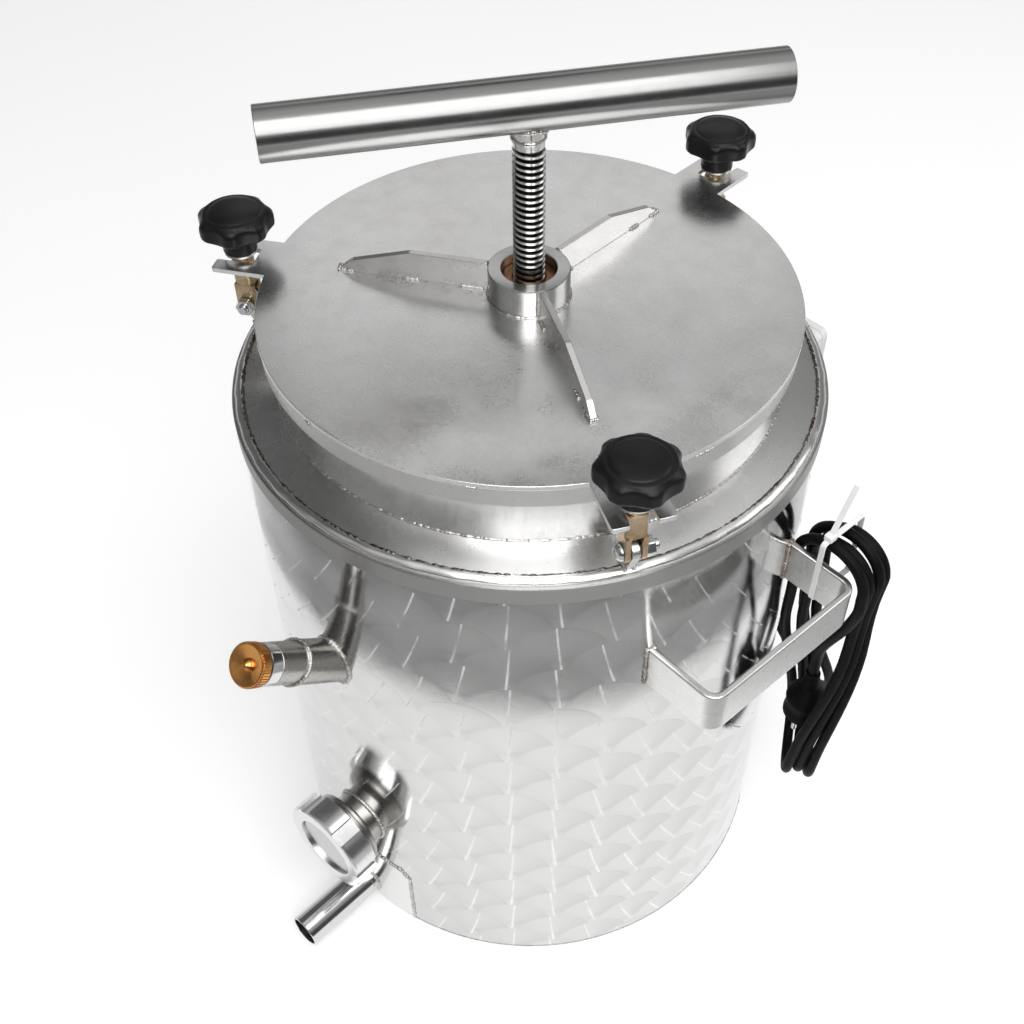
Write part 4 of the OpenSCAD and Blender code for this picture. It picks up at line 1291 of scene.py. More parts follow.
@dataclass
class Vessel(Assembly):
    """Shell, base, shoulder, hoop band, tank, and the lugs that carry the clamps."""

    sheet: float = 2.0
    base_t: float = 3.0
    band_h: float = 16.0
    band_t: float = 1.5
    shoulder_drop: float = 7.0
    rim_z: float = 608.0
    floor_z: float = 116.0
    bead_r: float = 230.5
    edge_lean: float = -28.0
    edge_half: Point2 = (3.7, 1.7)
    lug_t: float = 6.0
    lug_foot_z: float = 552.4
    bolt_r: float = 4.0

    def walls(self) -> None:
        """Shell, base, band, shoulder with its rolled edge, and tank."""
        r, t, h, b = SHELL_R, self.sheet, SHELL_H, self.band_t
        rows = [h * i / 24 for i in range(25)]
        profile = [(r, z) for z in rows] + [(r - t, z) for z in reversed(rows)]
        Solid().lathe(profile, segments=256).piece("shell", Finishes.SHELL, ["outer_shell"], "shell_steel")
        base = [(0, 0), (r - t, 0), (r - t, self.base_t), (0, self.base_t)]
        Solid().lathe(base, segments=160, loop=False).piece(
            "base", Finishes.INSIDE, ["base_plate"], "shell_steel")
        low = h - self.band_h
        band = [(r, low), (r + b - 0.4, low), (r + b, low + 0.5), (r + b, h - 0.6), (r + b - 0.5, h), (r, h)]
        Solid().lathe(band, segments=256).piece("hoop", Finishes.BAND, ["rim_band"], "shell_steel")
        slope = [(TANK_R + (r - TANK_R) * i / 6, NECK_Z - self.shoulder_drop * i / 6) for i in range(7)]
        Solid().lathe(slope + [(r, h), (r - t, h), (TANK_R, NECK_Z - t)], segments=256).piece(
            "shoulder", Finishes.SHOULDER, ["shoulder_ring"], "satin_steel")
        lean, (wide, thick) = Matrix.Rotation(math.radians(self.edge_lean), 2), self.edge_half
        middle = Vector((self.bead_r + 0.3, h + 2.9))
        ribbon = [lean @ Vector((wide * x, thick * y)) + middle for x, y in ring_outline(1, 20)]
        Solid().lathe([tuple(q) for q in ribbon], segments=320, swell=self.hammered).piece(
            "rolled_edge", Finishes.ROLLED, (), "satin_steel")
        inside, rim, floor = TANK_R - t, self.rim_z, self.floor_z
        tank = [(0, floor), (TANK_R, floor), (TANK_R, 330), (TANK_R, rim - 0.5), (TANK_R - 0.5, rim),
                (inside + 0.5, rim), (inside, rim - 0.5), (inside, floor + self.base_t),
                (0, floor + self.base_t)]
        Solid().lathe(tank, segments=256, loop=False).piece(
            "tank", Finishes.NECK, ["inner_tank"], "satin_steel")

    def hammered(self, a: float, r: float, z: float) -> float:
        """Radius of the rolled edge, a little uneven round the vessel."""
        return r + 0.22 * math.sin(47 * a + 0.3 * z) + 0.16 * math.sin(113 * a + 1.0) * math.sin(29 * a)

    def seams(self) -> None:
        """The rough weld inside the rolled edge, and the fine welds at the neck and the base."""
        edge = circle_path(self.bead_r - 3.0, shift(0, 0, SHELL_H + 4.1), 240)
        self.weld("shoulder_bead", edge, 0.95, True, 2.0, 3, finish=Finishes.SCALE, uneven=0.85, blend=1.6)
        neck = circle_path(TANK_R + 0.3, shift(0, 0, NECK_Z + 0.1), 240)
        self.weld("neck_bead", neck, 0.7, True, 1.5, 5, uneven=0.4, blend=2.4)
        foot = circle_path(SHELL_R - 0.6, shift(0, 0, 1.3), 240)
        self.weld("base_bead", foot, 1.1, True, 2.2, 7, "shell_steel")

    def lugs(self) -> None:
        """Lugs with their welds, pivot bolts and nuts."""
        lugs, bolts, b = Solid(), Solid(), self.bolt_r
        outline = [(self.bead_r - 12, self.lug_foot_z), (self.bead_r + 2.4, self.lug_foot_z + 0.5),
                   *arc(STUD_R, PIVOT_Z, 9.0, 0, 180, 20)]
        hole = moved(ring_outline(BOLT_HOLE_R, 40), STUD_R, PIVOT_Z)
        dome = [(0, -13.6), (2.2, -13.3), (4.2, -12.4), (5.8, -11.0), (6.7, -9.2), (6.8, -8.4), (b, -8.4)]
        shank = [(b, 17.4), (b - 0.6, 18.4), (0, 18.4)]
        hexagon = softened(arc(0, 0, 7.5, 30, 390, 6)[:-1], 0.9)
        for i, az in enumerate(CLAMP_AZ.values()):
            lugs.plate([outline, hole], self.lug_t, 0.6, upright(az))
            for side, label in ((-3.3, "a"), (3.3, "b")):
                foot = [around(az) @ Vector((side, -r, self.lug_foot_z + 0.8 + (229 - r) * 0.08))
                        for r in (218.5, 222, 226, 230, 233)]
                self.weld(f"lug_weld_{i}_{label}", foot, 1.5, seed=11 + i)
            pin = around(az) @ shift(0, -STUD_R, PIVOT_Z) @ turned(90, "Y")
            bolts.lathe(dome + shank, pin, 40, loop=False)
            bolts.plate([hexagon, ring_outline(BOLT_HOLE_R, 32)], 6.4, 0.7, pin @ shift(0, 0, 11.7))
        lugs.piece("lugs", Finishes.RIM, ["clamp_lugs"], "satin_steel")
        bolts.piece("pivots", Finishes.ZINC, ["pivot_bolts"], "zinc_steel")

    def build(self) -> None:
        """Make every piece of the vessel."""
        self.walls()
        self.seams()
        self.lugs()


@dataclass
class Handle(Assembly):
    """A flat bar bent to a U and welded to the shell."""

    name: str
    az: float
    span: float = 164.0
    reach: float = 287.0
    bar_t: float = 6.0
    bar_w: float = 40.0
    mid_z: float = 438.0
    bend: float = 14.0
    weld_out: float = 0.6

    def outline(self) -> list[Point2]:
        """The bar seen from above, its ends cut to the wall.

        Returns:
            The outline.
        """
        x, y, b, t = self.span / 2, -self.reach, self.bend, self.bar_t

        def end(at: float) -> Point2:
            """Point of the wall beside an arm."""
            return at, -math.sqrt(SHELL_R ** 2 - at ** 2)

        outer = [end(x), *reversed(arc(x - b, y + b, b, -90, 0, 10)),
                 *reversed(arc(b - x, y + b, b, 180, 270, 10)), end(-x)]
        inner = [end(t - x), *arc(b - x, y + b, b - t, 180, 270, 8), *arc(x - b, y + b, b - t, -90, 0, 8),
                 end(x - t)]
        return outer + inner

    def build(self) -> None:
        """Make the bar and its two welds."""
        place = around(self.az) @ shift(0, 0, self.mid_z)
        Solid().plate([self.outline()], self.bar_w, 1.7, place, 3).piece(
            f"{self.name}_bar", Finishes.HANDLE, [self.name], "bar_steel")
        edge, far = self.bar_w / 2 - 1, self.span / 2 + self.weld_out
        near, wall = self.span / 2 - self.bar_t - self.weld_out, SHELL_R + self.weld_out
        for side, label in ((-1, "a"), (1, "b")):
            path = [place @ Vector((side * at, -math.sqrt(wall ** 2 - at ** 2), z))
                    for at, z in ((far, -edge), (far, edge), (near, edge), (near, -edge))]
            self.weld(f"{self.name}_weld_{label}", path, 1.5, True, seed=21 + side, slot="bar_steel",
                      finish=Finishes.TACK, uneven=0.3)


@dataclass
class Filler(Assembly):
    """Tilted filling pipe of the water jacket, with its collar, seal and brass cap."""

    tilt: float = 42.0
    root_z: float = 387.0
    length: float = 102.0
    pipe_r: float = 16.85
    bore_r: float = 14.5
    sleeve_r: float = 18.0
    sleeve_end: float = 50.0
    weld_lean: float = -9.0
    cap_r: float = 16.9
    knurl: int = 44

    def build(self) -> None:
        """Make the pipe, collar, cap and welds."""
        p = shift(0, -SHELL_R, self.root_z) @ turned(90 - self.tilt, "X")
        end, b, s, r, k = self.length, self.bore_r, self.sleeve_r, self.pipe_r, self.sleeve_end
        pipe = [(b, -14), (s, -14), (s, k - 0.8), (s - 0.4, k), (r, k + 0.6), (r, end - 23.4),
                (16.4, end - 23), (b, end - 23)]
        Solid().lathe(pipe, p).piece("filler_tube", Finishes.PIPE, ["filler_pipe"], "pipe_steel")
        collar = moved([(13.2, -23), (16.6, -23), (17.0, -22.6), (17.0, -12.1), (16.6, -11.5),
                        (13.2, -11.5)], 0, end)
        Solid().lathe(collar, p).piece("filler_ring", Finishes.BRIGHT, ["filler_collar"], "pipe_steel")
        seal = moved([(12.9, -11.4), (16.4, -11.4), (16.4, -9.8), (12.9, -9.8)], 0, end)
        Solid().lathe(seal, p, 64).piece(
            "filler_washer", Finishes.FIBRE, ["cap_seal"], "fibre_seal", "cap_seal")
        c = self.cap_r
        cap = moved([(0, -22), (12.5, -22), (12.5, -9.7), (c - 0.4, -9.7), (c, -9.3), (c, -0.9),
                     (c - 0.4, -0.15), (c - 1, 0), (15.2, -0.1), (9.5, -1.5), (6.0, -2.4), (5.2, -2.5),
                     (4.9, -2.2), (4.7, -1.0), (4.3, -0.5), (2.4, 1.5), (1.9, 1.9), (0, 1.95)], 0, end)
        axis = (p.to_3x3() @ Vector((0, 0, 1))).normalized()
        brass = TurnedMetal("turned_brass", (0.88, 0.45, 0.15), (0.56, 0.23, 0.06),
                            tuple(p @ Vector((0, 0, end)) * MM), tuple(axis), 0.24)
        Solid().lathe(cap, p, loop=False).piece("filler_cap", brass, ["valve_cap"], "brass", "valve_cap")
        values = {"Count": self.knurl, "Radius": c - 0.15, "Ridge": (1.5, 1.35, 7.4)}
        self.trees.ring.run("filler_cap_knurl", values, brass, (), "brass", "valve_cap",
                            p @ shift(0, 0, end - 5.2))
        lean = p @ shift(0, 0, k + 0.5) @ turned(self.weld_lean, "X")
        self.weld("filler_sleeve_weld", circle_path(s - 0.3, lean, 72), 1.7, True, 1.5, 31, "pipe_steel")
        self.weld("filler_shell_weld", on_wall(p, s + 0.4, SHELL_R + 0.3), 1.9, True, 1.6, 33, "pipe_steel")


@dataclass
class Outlet(Assembly):
    """Wax outlet: stub, gasket, blind plug and slotted union nut."""

    z: float = 147.5
    face: float = 282.0
    bore_r: float = 25.0
    stub_r: float = 26.5
    thread_r: float = 36.9
    thread_turns: int = 4
    thread_pitch: float = 3.4
    nut_r: float = 46.0
    slots: int = 6
    slot_deep: float = 4.2
    slot_half: float = 7.2

    def nut_radius(self, a: float, r: float, z: float) -> float:
        """Radius of the nut's outside with its slots cut away.

        Args:
            a: angle round the nut.
            r: radius without slots.
            z: height along the nut, which the slots don't follow.

        Returns:
            The radius at that angle.
        """
        if r < self.nut_r - 2:
            return r
        step, low = 2 * math.pi / self.slots, self.nut_r - self.slot_deep
        off = (a + step / 2) % step - step / 2
        floor = low / max(0.2, math.cos(off))
        return min(r, floor) if abs(math.tan(off)) * low < self.slot_half else r

    def build(self) -> None:
        """Make the union and its weld."""
        p, f, t = outward(0, self.z), self.face, self.thread_r
        gasket, blank = f - 13.9, f - 10.9
        stub = [(self.bore_r, 198.3), (self.stub_r, 198.3), (self.stub_r, gasket - 22.6), (27.2, gasket - 22),
                (36.0, gasket - 18.6), (t, gasket - 17.6)]
        for k in range(self.thread_turns):
            z = gasket - 15 + k * self.thread_pitch
            stub += [(t, z), (t - 0.9, z + 0.9), (t - 0.9, z + 1.6), (t, z + 2.5)]
        stub += [(t, gasket - 0.8), (t - 0.6, gasket - 0.1), (self.bore_r, gasket - 0.1)]
        # The stub takes the darker filler finish: partly its own mid-grey, partly painted shade for the shaded
        # space between the nut and the shell.
        Solid().lathe(stub, p, 112).piece("outlet_tube", Finishes.PIPE, ["outlet_stub"], "bright_steel")
        ring = moved([(25.5, 0), (34, 0), (34, 2.9), (25.5, 2.9)], 0, gasket)
        Solid().lathe(ring, p, 80).piece(
            "outlet_seal", Finishes.SEAL, ["union_gasket"], "white_seal", "outlet_plug")
        disc = moved([(0, 0), (36.1, 0), (36.5, 0.4), (36.5, 5.5), (36.1, 5.9), (30.6, 6.1), (30.5, 7.6),
                      (30.2, 7.9), (26, 7.94), (0, 8.0)], 0, blank)
        Solid().lathe(disc, p, 112, loop=False).piece(
            "outlet_blank", Finishes.PLUGGED, ["blind_plug"], "bright_steel", "outlet_plug")
        r = self.nut_r
        nut = moved([(37.3, -24), (r - 1.6, -24), (r - 0.4, -23.4), (r, -22.6), (r, -2.2), (r - 0.7, -0.9),
                     (r - 2.2, 0), (32.0, 0), (31.2, -0.4), (31, -1.0), (31, -4.6), (37.3, -4.6)], 0, f)
        Solid().lathe(nut, p, 360, self.nut_radius).piece(
            "outlet_nut", Finishes.NUT, ["union_nut"], "bright_steel", "union_nut", 28)
        joint = on_wall(p, self.stub_r + 0.6, SHELL_R + 0.3)
        self.weld("outlet_weld", joint, 1.8, True, 1.7, 41, "bright_steel")


@dataclass
class Drain(Assembly):
    """Drain spout with the plate let into the shell round it."""

    az: float = -2.0
    z: float = 18.5
    root_r: float = 233.2
    end_r: float = 319.0
    pipe_r: float = 16.85
    pipe_t: float = 2.0
    half_w: float = 59.9
    top: float = 88.9
    corner: float = 10.0
    levels: tuple[float, ...] = (20, 40, 60)

    def wrapped(self, x: float, z: float, r: float) -> Vector:
        """A point of the flat plate laid on the round wall."""
        a = x / SHELL_R
        return around(self.az) @ Vector((r * math.sin(a), -r * math.cos(a), z))

    def plate(self) -> None:
        """The inset plate, with its upper corners cut."""
        shoulder = self.top - self.corner
        rows = [0.1, *self.levels, shoulder, self.top - self.corner * 0.6, self.top - self.corner * 0.2,
                self.top]
        cols, count, verts, faces = 28, len(rows), [], []
        for r in (SHELL_R + 0.42, SHELL_R - 1.9):
            for z in rows:
                half = self.half_w - max(0.0, z - shoulder)
                verts += [self.wrapped(-half + 2 * half * k / cols, z, r) for k in range(cols + 1)]
        width, layer = cols + 1, (cols + 1) * count
        for i in range(count - 1):
            for k in range(cols):
                a = i * width + k
                faces += [(a, a + 1, a + width + 1, a + width),
                          (layer + a, layer + a + width, layer + a + width + 1, layer + a + 1)]
        rim = [*range(width), *(i * width + cols for i in range(1, count)),
               *((count - 1) * width + k for k in range(cols - 1, -1, -1)),
               *(i * width for i in range(count - 2, 0, -1))]
        faces += [(a, b, layer + b, layer + a) for a, b in zip(rim, rim[1:] + rim[:1])]
        Solid().add(verts, faces, Matrix()).piece(
            "drain_plate", Finishes.INSET, ["spout_plate"], "shell_steel")

    def build(self) -> None:
        """Make the spout, its plate and the welds."""
        p, r, end = outward(self.az, self.z), self.pipe_r, self.end_r
        bore = r - self.pipe_t
        tube = [(bore, self.root_r), (r, self.root_r), (r, 276), (r, end - 0.5), (r - 0.4, end),
                (r - 1.6, end), (bore, end - 0.5)]
        Solid().lathe(tube, p).piece("drain_tube", Finishes.BRIGHT, ["drain_spout"], "bright_steel")
        self.plate()
        self.weld("drain_weld", on_wall(p, r + 0.1, SHELL_R + 1.0), 1.4, True, 1.5, 51, "bright_steel")
        w, t, c = self.half_w, self.top, self.corner
        marks = [(-w, 2), *((-w, z) for z in self.levels), (-w, t - c), (c - w, t)]
        marks += [(c - w + 2 * (w - c) * k / 14, t) for k in range(1, 14)]
        marks += [(w - c, t), (w, t - c), *((w, z) for z in reversed(self.levels)), (w, 2)]
        path = [self.wrapped(x, z, SHELL_R + 0.3) for x, z in marks]
        self.weld("drain_plate_weld", path, 1.6, pitch=1.4, seed=53, slot="shell_steel", uneven=0.25)


@dataclass
class Lid(Assembly):
    """Lid plate with three slotted ears, skirt, seal, hub, ribs and the spindle's nut."""

    plate_r: float = 208.0
    plate_t: float = 4.0
    tack_az: tuple[float, ...] = (-6.0, 30.5, 74.5, 77.0, 150.0, 222.0, 268.0)
    ear_end: float = 251.0
    ear_w: float = 45.0
    slot_w: float = 19.0
    slot_in: float = 221.0
    skirt_r: float = 207.0
    skirt_h: float = 16.0
    hub_r: float = 31.5
    hub_h: float = 24.0
    bore_r: float = 21.2
    rib_end: float = 152.0
    rib_t: float = 5.0
    rib_weld: float = 2.9

    @property
    def under(self) -> float:
        """Height of the plate's underside."""
        return LID_Z - self.plate_t

    def outline(self) -> list[Point2]:
        """The plate seen from above, with its ears and slots.

        Returns:
            The outline.
        """
        half = math.degrees(math.asin(self.ear_w / 2 / self.plate_r))
        w, s, e, q = self.ear_w / 2, self.slot_w / 2, -self.ear_end, -self.slot_in
        corners = [(-w, e + 30), (-w, e), (-s, e), (-s, q), (s, q), (s, e), (w, e), (w, e + 30)]
        ear = softened(corners, 2.4)[4:-4]
        points: list[Point2] = []
        all_az, steps = list(CLAMP_AZ.values()), 60
        for i, az in enumerate(all_az):
            points += [(around(az) @ Vector((x, y, 0))).to_2d().to_tuple() for x, y in ear]
            start, end = az + half, all_az[(i + 1) % len(all_az)] - half
            end += 360 if end < start else 0
            for k in range(steps + 1):
                a = math.radians(start + (end - start) * k / steps)
                points.append((self.plate_r * math.sin(a), -self.plate_r * math.cos(a)))
        return points

    def plate(self) -> None:
        """Plate, skirt with its tacks, and seal."""
        under, s = self.under, self.skirt_r
        Solid().plate([self.outline(), ring_outline(self.bore_r, 96)], self.plate_t, 0.55,
                      shift(0, 0, LID_Z - self.plate_t / 2)).piece(
            "lid_top", Finishes.LID, ["lid_plate"], "satin_steel", "lid")
        foot = under - self.skirt_h
        skirt = [(s - 3, foot + 0.4), (s - 2.6, foot), (s - 0.4, foot), (s, foot + 0.4), (s, under),
                 (s - 3, under)]
        Solid().lathe(skirt, segments=256).piece("lid_rim", Finishes.RIM, ["lid_skirt"], "satin_steel", "lid")
        seal = [(195, 609), (195.7, 608.3), (203, 608.3), (203.7, 609), (203.7, under), (195, under)]
        Solid().lathe(seal, segments=160).piece(
            "lid_gasket", Finishes.SEAL, ["lid_seal"], "white_seal", "lid")
        for k, az in enumerate(self.tack_az):
            path = [around(az + step) @ Vector((0, -self.plate_r + 0.3, under - 0.4))
                    for step in (0, 0.8, 1.6)]
            self.weld(f"skirt_tack_{k}", path, 1.3, seed=81 + k, body="lid", uneven=0.3)

    def hub(self) -> None:
        """Hub and the bronze nut in it."""
        z, r, b = LID_Z, self.hub_r, self.bore_r
        top, under = z + self.hub_h, self.under
        hub = [(b, z), (r, z), (r, top - 1.2), (r - 0.4, top - 0.4), (r - 1.2, top), (b + 1.0, top),
               (b + 0.3, top - 0.3), (b, top - 1.0)]
        Solid().lathe(hub, segments=128).piece("lid_boss", Finishes.HUB, ["lid_hub"], "bright_steel", "lid")
        low, high = under - 8, top - 8
        nut = [(12.1, low), (29.4, low), (30, low + 0.6), (30, under), (21, under), (21, high - 0.8),
               (20.2, high), (13.4, high), (12.1, high - 1.3)]
        Solid().lathe(nut).piece("lid_nut", Finishes.BRONZE, ["spindle_nut"], "bronze", "lid")

    def fins(self) -> None:
        """Three ribs with their short welds, and the weld round the hub."""
        z, r, side, end = LID_Z, self.hub_r, self.rib_weld, self.rib_end
        top = z + self.hub_h
        corners = [(r + 0.1, z), (end, z), (end - 1.4, z + 1.6), (end - 11, z + 10), (93, top),
                   (r + 0.1, top)]
        outline = softened(corners, 1.6)
        runs = {"a": (-side, ((36, 46), (118, 126), (143, 151))),
                "b": (side, ((36, 52), (88, 97), (141, 151)))}
        ribs = Solid()
        for i, az in enumerate(CLAMP_AZ.values()):
            ribs.plate([outline], self.rib_t, 0.5, upright(az))
            for label, (x, spans) in runs.items():
                for k, (a, b) in enumerate(spans):
                    path = [around(az) @ Vector((x, -(a + (b - a) * j / 4), z + 0.5)) for j in range(5)]
                    self.weld(f"rib_weld_{i}_{k}_{label}", path, 1.25, seed=61 + k, body="lid")
            tip = [around(az) @ Vector((x, -end + 0.4, z + 0.9)) for x in (-2.4, -0.8, 0.8, 2.4)]
            self.weld(f"rib_tip_{i}", tip, 1.7, seed=69, body="lid")
            stand = [around(az) @ Vector((-side, -(r + 0.5), z + 2 + 5 * j)) for j in range(5)]
            self.weld(f"rib_hub_weld_{i}", stand, 1.2, seed=65, body="lid")
        ribs.piece("lid_fins", Finishes.RIB, ["lid_ribs"], "satin_steel", "lid")
        foot = circle_path(r + 0.2, shift(0, 0, z + 0.3), 120)
        self.weld("hub_weld", foot, 1.0, True, 1.6, 67, body="lid", uneven=0.3, blend=3.0)

    def build(self) -> None:
        """Make every piece of the lid."""
        self.plate()
        self.hub()
        self.fins()


@dataclass
class Press(Assembly):
    """Spindle with its T-bar, and the plate that it drives."""

    screw_r: float = 12.0
    root_r: float = 9.6
    pitch: float = 5.0
    thread_z: float = 507.0
    turns: float = 47.0
    foot_z: float = 484.0
    foot_r: float = 14.0
    journal_r: float = 8.0
    core_top: float = 759.0
    bar_r: float = 19.0
    bar_t: float = 2.0
    bar_half: float = 183.0
    bar_z: float = 774.0
    bar_az: float = 144.0

    def spindle(self) -> None:
        """Core with foot and journal, thread, and the weld under the T-bar."""
        top, foot = self.thread_z + self.turns * self.pitch, self.foot_z
        f, j, r = self.foot_r, self.journal_r, self.root_r
        core = [(0, foot), (f - 0.6, foot), (f, foot + 0.6), (f, foot + 8), (f - 0.6, foot + 8.6),
                (j, foot + 8.6), (j, self.thread_z - 2), (r, self.thread_z), (r, top), (11.5, top + 1.2),
                (11.6, top + 8), (11.4, self.core_top), (0, self.core_top)]
        Solid().lathe(core, segments=64, loop=False).piece(
            "spindle_core", Finishes.SCREW, ["spindle"], "bright_steel", "spindle")
        values = {"Turns": self.turns - 0.6, "Pitch": self.pitch, "Core": r, "Crest": self.screw_r,
                  "Root Width": 3.1, "Crest Width": 1.75}
        self.trees.thread.run("spindle_thread", values, Finishes.SCREW, (), "bright_steel", "spindle",
                              shift(0, 0, self.thread_z + 1.5))
        under = self.bar_r + 0.4
        path = [around(self.bar_az) @ Vector((x, y, self.bar_z - math.sqrt(under ** 2 - x * x)))
                for x, y in ring_outline(12.6, 60)]
        self.weld("bar_weld", path, 1.7, True, 1.6, 71, "bright_steel", "spindle", uneven=0.2)
        low = circle_path(11.3, shift(0, 0, top + 7.5), 60)
        self.weld("bar_weld_run", low, 1.6, True, 2.0, 73, "bright_steel", "spindle", uneven=0.3, blend=2.0)

    def bar(self) -> None:
        """Tube and end plugs."""
        p, r, h = outward(self.bar_az, self.bar_z), self.bar_r, self.bar_half
        bore = r - self.bar_t
        rows = [-h + 0.4 + (2 * h - 0.8) * i / 24 for i in range(25)]
        tube = [(bore, -h), (r - 0.4, -h), *((r, z) for z in rows), (r - 0.4, h), (bore, h)]
        Solid().lathe(tube, p, 128).piece("bar_tube", Finishes.BAR, ["t_bar"], "bar_steel", "spindle")
        ends, fit = Solid(), bore - 0.05
        plug = [(0, h - 8), (fit, h - 8), (fit, h - 0.5), (fit - 0.55, h), (0, h)]
        for side in (-1, 1):
            ends.lathe([(x, side * z) for x, z in plug], p, 64, loop=False)
        ends.piece("bar_ends", Finishes.BAND, ["tbar_plugs"], "bar_steel", "spindle")

    def build(self) -> None:
        """Make the press; its hidden plate keeps its solids with a finish."""
        self.spindle()
        self.bar()
        for node in ("press_plate", "press_ribs", "press_boss", "boss_cover"):
            cover(node, Finishes.INSIDE)


@dataclass
class Clamp(Assembly):
    """A swinging fork with its washer and lobed knob."""

    side: str
    az: float
    gap: float = 3.5
    leg_x: float = 6.0
    leg_t: float = 4.0
    leg_r: float = 8.0
    head_w: float = 16.0
    washer_r: float = 13.0
    washer_t: float = 2.0
    knob_r: float = 30.0
    scallops: int = 7
    scallop: float = 3.2
    hollow_r: float = 22.0
    soft: float = 0.9
    stud_core_r: float = 3.45

    def place(self) -> Matrix:
        """Frame at the stud, its origin at floor level."""
        return around(self.az) @ shift(0, -STUD_R, 0)

    def lobes(self, a: float, r: float, z: float) -> float:
        """Radius of the knob's rim between and in its scallops.

        Args:
            a: angle round the knob.
            r: radius without scallops.
            z: height, which the scallops don't follow.

        Returns:
            The radius at that angle.
        """
        rim, start = self.knob_r, self.knob_r * 0.8
        if r < start:
            return r
        reach, step = rim + self.hollow_r - self.scallop, 2 * math.pi / self.scallops
        off = (a - math.pi / 2 + step / 2) % step - step / 2
        root = self.hollow_r ** 2 - (reach * math.sin(off)) ** 2
        wall = reach * math.cos(off) - math.sqrt(root) if root > 0 else rim
        eased = -self.soft * math.log(math.exp(-min(wall, 60) / self.soft) + math.exp(-rim / self.soft))
        return r + (eased - rim) * ((r - start) / (rim * 0.2))

    def fork(self) -> None:
        """Clevis with its two legs."""
        body, p, h = Solid(), self.place(), FORK_HOLE_R
        z0, top = PIVOT_Z, LID_Z - 3.5
        leg = arc(0, z0, self.leg_r, 180, 360, 16) + [(self.leg_r, z0 + 18.4), (-self.leg_r, z0 + 18.4)]
        for x in (-self.leg_x, self.leg_x):
            body.plate([leg, moved(ring_outline(h, 32), 0, z0)], self.leg_t, 0.5, p @ shift(x, 0, 0) @ STAND)
        head = rounded_rect(self.head_w, self.head_w, 5.0)
        body.plate([head, ring_outline(h, 32)], top - z0 - 18, 0.6, p @ shift(0, 0, (top + z0 + 18) / 2))
        body.lathe([(h, top - 1), (7, top - 1), (7, top + 2.4), (6.4, top + 3), (h, top + 3)], p, 48)
        body.piece(f"fork_{self.side}", Finishes.GOLD, [f"clamp_fork_{self.side}"], "gold_zinc",
                   f"clamp_{self.side}")

    def washer(self) -> None:
        """Plain washer under the knob."""
        z, r, t = LID_Z + self.gap, self.washer_r, self.washer_t
        ring = [(4.3, z), (r - 0.3, z), (r, z + 0.3), (r, z + t - 0.3), (r - 0.3, z + t), (4.3, z + t)]
        name = f"washer_{self.side}"
        Solid().lathe(ring, self.place(), 64).piece(
            name, Finishes.PIPE, [f"clamp_{name}"], "zinc_steel", name)

    def knob(self) -> None:
        """Lobed knob with its threaded stud."""
        z, r, p = LID_Z + self.gap + self.washer_t + 0.05, self.knob_r, self.place()
        rim, body = z + 17.5, f"knob_{self.side}"
        stem = moved([(0, 0), (12.4, 0), (13.4, 0.6), (13.5, 1.4), (13.1, 8), (13.0, 15)], 0, z)
        head = moved([(14.2, -0.4), (17, 0.3), (21, 0.4), (25.5, 0.6), (28.4, 1.2), (29.6, 2.4), (r, 4.2),
                      (r, 9.2), (29.7, 11.4), (28.6, 13.2), (26.8, 14.5), (25.2, 15.2), (24.6, 15.9),
                      (23.6, 16.5), (21.5, 16.9), (20.6, 16.7), (20.2, 16.9), (19.4, 17.7), (16, 18.6),
                      (11, 19.2), (5, 19.5), (0, 19.55)], 0, rim)
        Solid().lathe(stem + head, p, 168, self.lobes, loop=False).piece(
            body, Finishes.BLACK, [f"clamp_knob_{self.side}"], "black_plastic", body, 50)
        s, foot = self.stud_core_r, z - 30
        stud = [(0, foot), (2.9, foot), (s, foot + 0.7), (s, z + 1), (0, z + 1)]
        Solid().lathe(stud, p, 32, loop=False).piece(
            f"stud_{self.side}", Finishes.ZINC, (), "zinc_steel", body)
        values = {"Turns": 22.0, "Pitch": 1.25, "Core": 3.4, "Crest": 4.0,
                  "Root Width": 1.05, "Crest Width": 0.25}
        self.trees.thread.run(f"stud_thread_{self.side}", values, Finishes.ZINC, (), "zinc_steel", body,
                              p @ shift(0, 0, foot + 1))

    def build(self) -> None:
        """Make the clamp."""
        self.fork()
        self.washer()
        self.knob()


